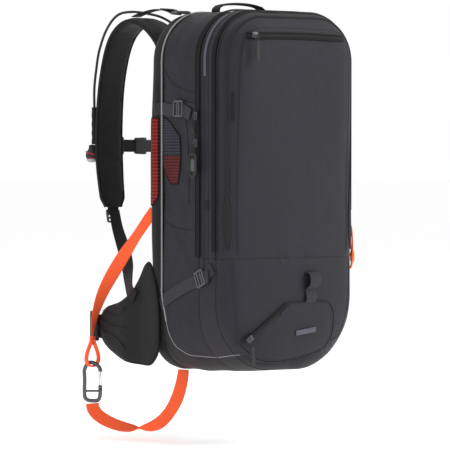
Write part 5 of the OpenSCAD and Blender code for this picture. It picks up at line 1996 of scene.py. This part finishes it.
# ---------------------------------------------------------------- hip belt
@dataclass
class HipBelt:
    """Fins sewn to the pack, padded wings, webbing and buckle."""

    tip: float = 0.1212

    def wing_loop(self) -> np.ndarray:
        """The outline of fin and wing in one, as (y, z)."""
        pts = [(-29, 90), (-24, 122), (-10, 160), (4, 158), (18, 136), (32, 116), (48, 105),
               (62, 99), (78, 95), (92, 91), (103, 82), (108.6, 70), (108.6, 56), (103, 43),
               (90, 32), (72, 23), (52, 15), (36, 11), (16, 9), (-8, 9), (-22, 20), (-29, 34),
               (-30, 62)]
        return evenly(closed_line(pts, 5) * MM, 150, closed=True)

    def build(self) -> None:
        """Makes the hip belt."""
        for sign, word, body in ((-1, "left", Body.WING_LEFT), (1, "right", Body.WING_RIGHT)):
            def place(a: float, b: float, height: float, s: int = sign) -> Point:
                """Puts a point of the wing: thin by the pack, thick and further out past it."""
                past = float(step(0.008, 0.048, a))
                return (s * (0.1330 + 0.0082 * past + height * (0.5 + 0.5 * past)), a, b)
            sketch = Sketch(f"hip_wing_{word}_cloth")
            loop = self.wing_loop()
            sketch.pillow(loop, place, 0.0092, Finish.BACK, medial=0.012)
            edge = np.array([place(a, b, 0.0) for a, b in loop])
            sketch.tube(edge, 0.0014, Finish.BINDING, sides=8, closed=True)
            wing = sketch.finish(merge=1e-5)
            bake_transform(wing)
            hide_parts(f"hip_wing_{word}", *(["hip_fins"] if sign < 0 else []))
            LOG.info("%s has its seams next", wing.name)
            rows, seams = [], Sketch(f"hip_wing_seams_{word}")
            for flat in ([(40, 92), (56, 80), (80, 84), (96, 87)],
                         [(38, 30), (60, 46), (84, 52), (108, 60)],
                         [(38, 62), (64, 64), (90, 70), (107, 72)]):
                line = np.array([(sign * 0.1464, a * MM, b * MM)
                                 for a, b in smooth_line(flat, 8)])
                rows.append(line + np.array((sign * -0.0002, 0, 0.0024)))
                seams.tube(line, 0.0007, Finish.BACK, sides=8)
            place_piece(seams.finish(), body, "back_fabric")
            sew(body, "back_fabric", f"hip_wing_stitches_{word}", rows, Finish.THREAD, 0.0034,
                0.0024, 0.00025)
            self.buckle(sign, word, body)

    def buckle(self, sign: int, word: str, body: Body) -> None:
        """The belt webbing and its buckle half."""
        x, z = sign * 0.1412, 0.062
        sketch = Sketch(f"hip_webbing_{word}")
        line = np.array([(x, b, z) for b in np.linspace(0.096, self.tip, 10)])
        sketch.ribbon(line, (0, 0, 1), 0.037, 0.0018, Finish.WEB_BLACK)
        fold = np.array([(x, 0.1180, z), (x + sign * 0.0022, 0.1215, z),
                         (x + sign * 0.0034, 0.1170, z), (x + sign * 0.0034, 0.1110, z)])
        sketch.ribbon(smooth_line(fold, 5), (0, 0, 1), 0.036, 0.0016, Finish.WEB_BLACK)
        wide = 0.046 if sign < 0 else 0.040
        for y in (0.1190, 0.1250, 0.1315):
            sketch.block((x, y, z), np.eye(3), (0.0066, 0.0036, wide), Finish.BLACK, 0.35)
        for up in (-1, 1):
            sketch.block((x, 0.1250, z + up * (wide / 2 - 0.002)), np.eye(3),
                         (0.0072, 0.0168, 0.0040), Finish.BLACK, 0.35)
        if sign > 0:
            sketch.block((x, 0.1255, z), np.eye(3), (0.0052, 0.0150, 0.0120), Finish.BLACK, 0.35)
        place_piece(sketch.finish(), body, "black_plastic", f"hip_buckle_{word}")


# ---------------------------------------------------------------- inside
@dataclass
class Inside:
    """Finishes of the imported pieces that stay, and the folded airbag."""

    finishes: dict = field(default_factory=lambda: {
        "frame_sheet": Finish.BLACK, "frame_stays": Finish.ALUMINIUM,
        "system_divider": Finish.LINING, "blower_housing": Finish.GREY,
        "blower_cover": Finish.BLACK, "cover_screws": Finish.STEEL, "motor": Finish.STEEL,
        "impeller": Finish.ORANGE, "inflation_duct": Finish.RUBBER,
        "supercapacitors": Finish.SLEEVE, "battery_pack": Finish.BLACK,
        "control_unit": Finish.GREY, "power_button": Finish.ORANGE})

    def build(self) -> None:
        """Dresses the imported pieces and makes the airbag."""
        for node, finish in self.finishes.items():
            made = bpy.data.objects[node]
            for slot in made.material_slots:
                slot.material = finish.material
            LOG.info("dressed %s", node)
        sketch = Sketch("folded_airbag")
        rows = []
        for k, t in enumerate(np.linspace(0, 1, 41)):
            fold = 0.5 + 0.5 * math.cos(k * math.pi)
            inset = 0.0075 + 0.0035 * fold + 0.030 * t
            y = -0.0250 + (0.0060 - 0.0022 * fold) * (1 if k % 4 < 2 else -1)
            flat = arch(P.half, P.top, 0.075, 0.060, 420, inset)
            flat = flat[flat[:, 1] > 0.076]
            if rows:
                flat = evenly(flat, len(rows[0]))
            rows.append([(a, y, b) for a, b in flat])
        sketch.grid(np.array(rows), Finish.AIRBAG)
        made = sketch.finish()
        modify(made, "SOLIDIFY", thickness=0.0008, offset=0.0)
        bake_modifiers(made)
        place_piece(made, Body.PACK, "airbag_fabric", "airbag")


# ---------------------------------------------------------------- build
def main() -> None:
    """Builds the stage and every sub-assembly, in order."""
    logging.basicConfig(level=logging.INFO, format="%(name)s: %(message)s")
    Stage().build()
    for part in (LegHarness(), Shells()):
        LOG.info("building %s", type(part).__name__)
        part.build()
    skin = Skin(("rear_band", "side_panels", "lower_body", "flap_band", "front_panel_cloth"))
    for part in (Zips(), Sides(), Front()):
        LOG.info("building %s", type(part).__name__)
        part.build(skin)
    Harness().build()
    HipBelt().build()
    Inside().build()


if __name__ == "__main__":
    main()
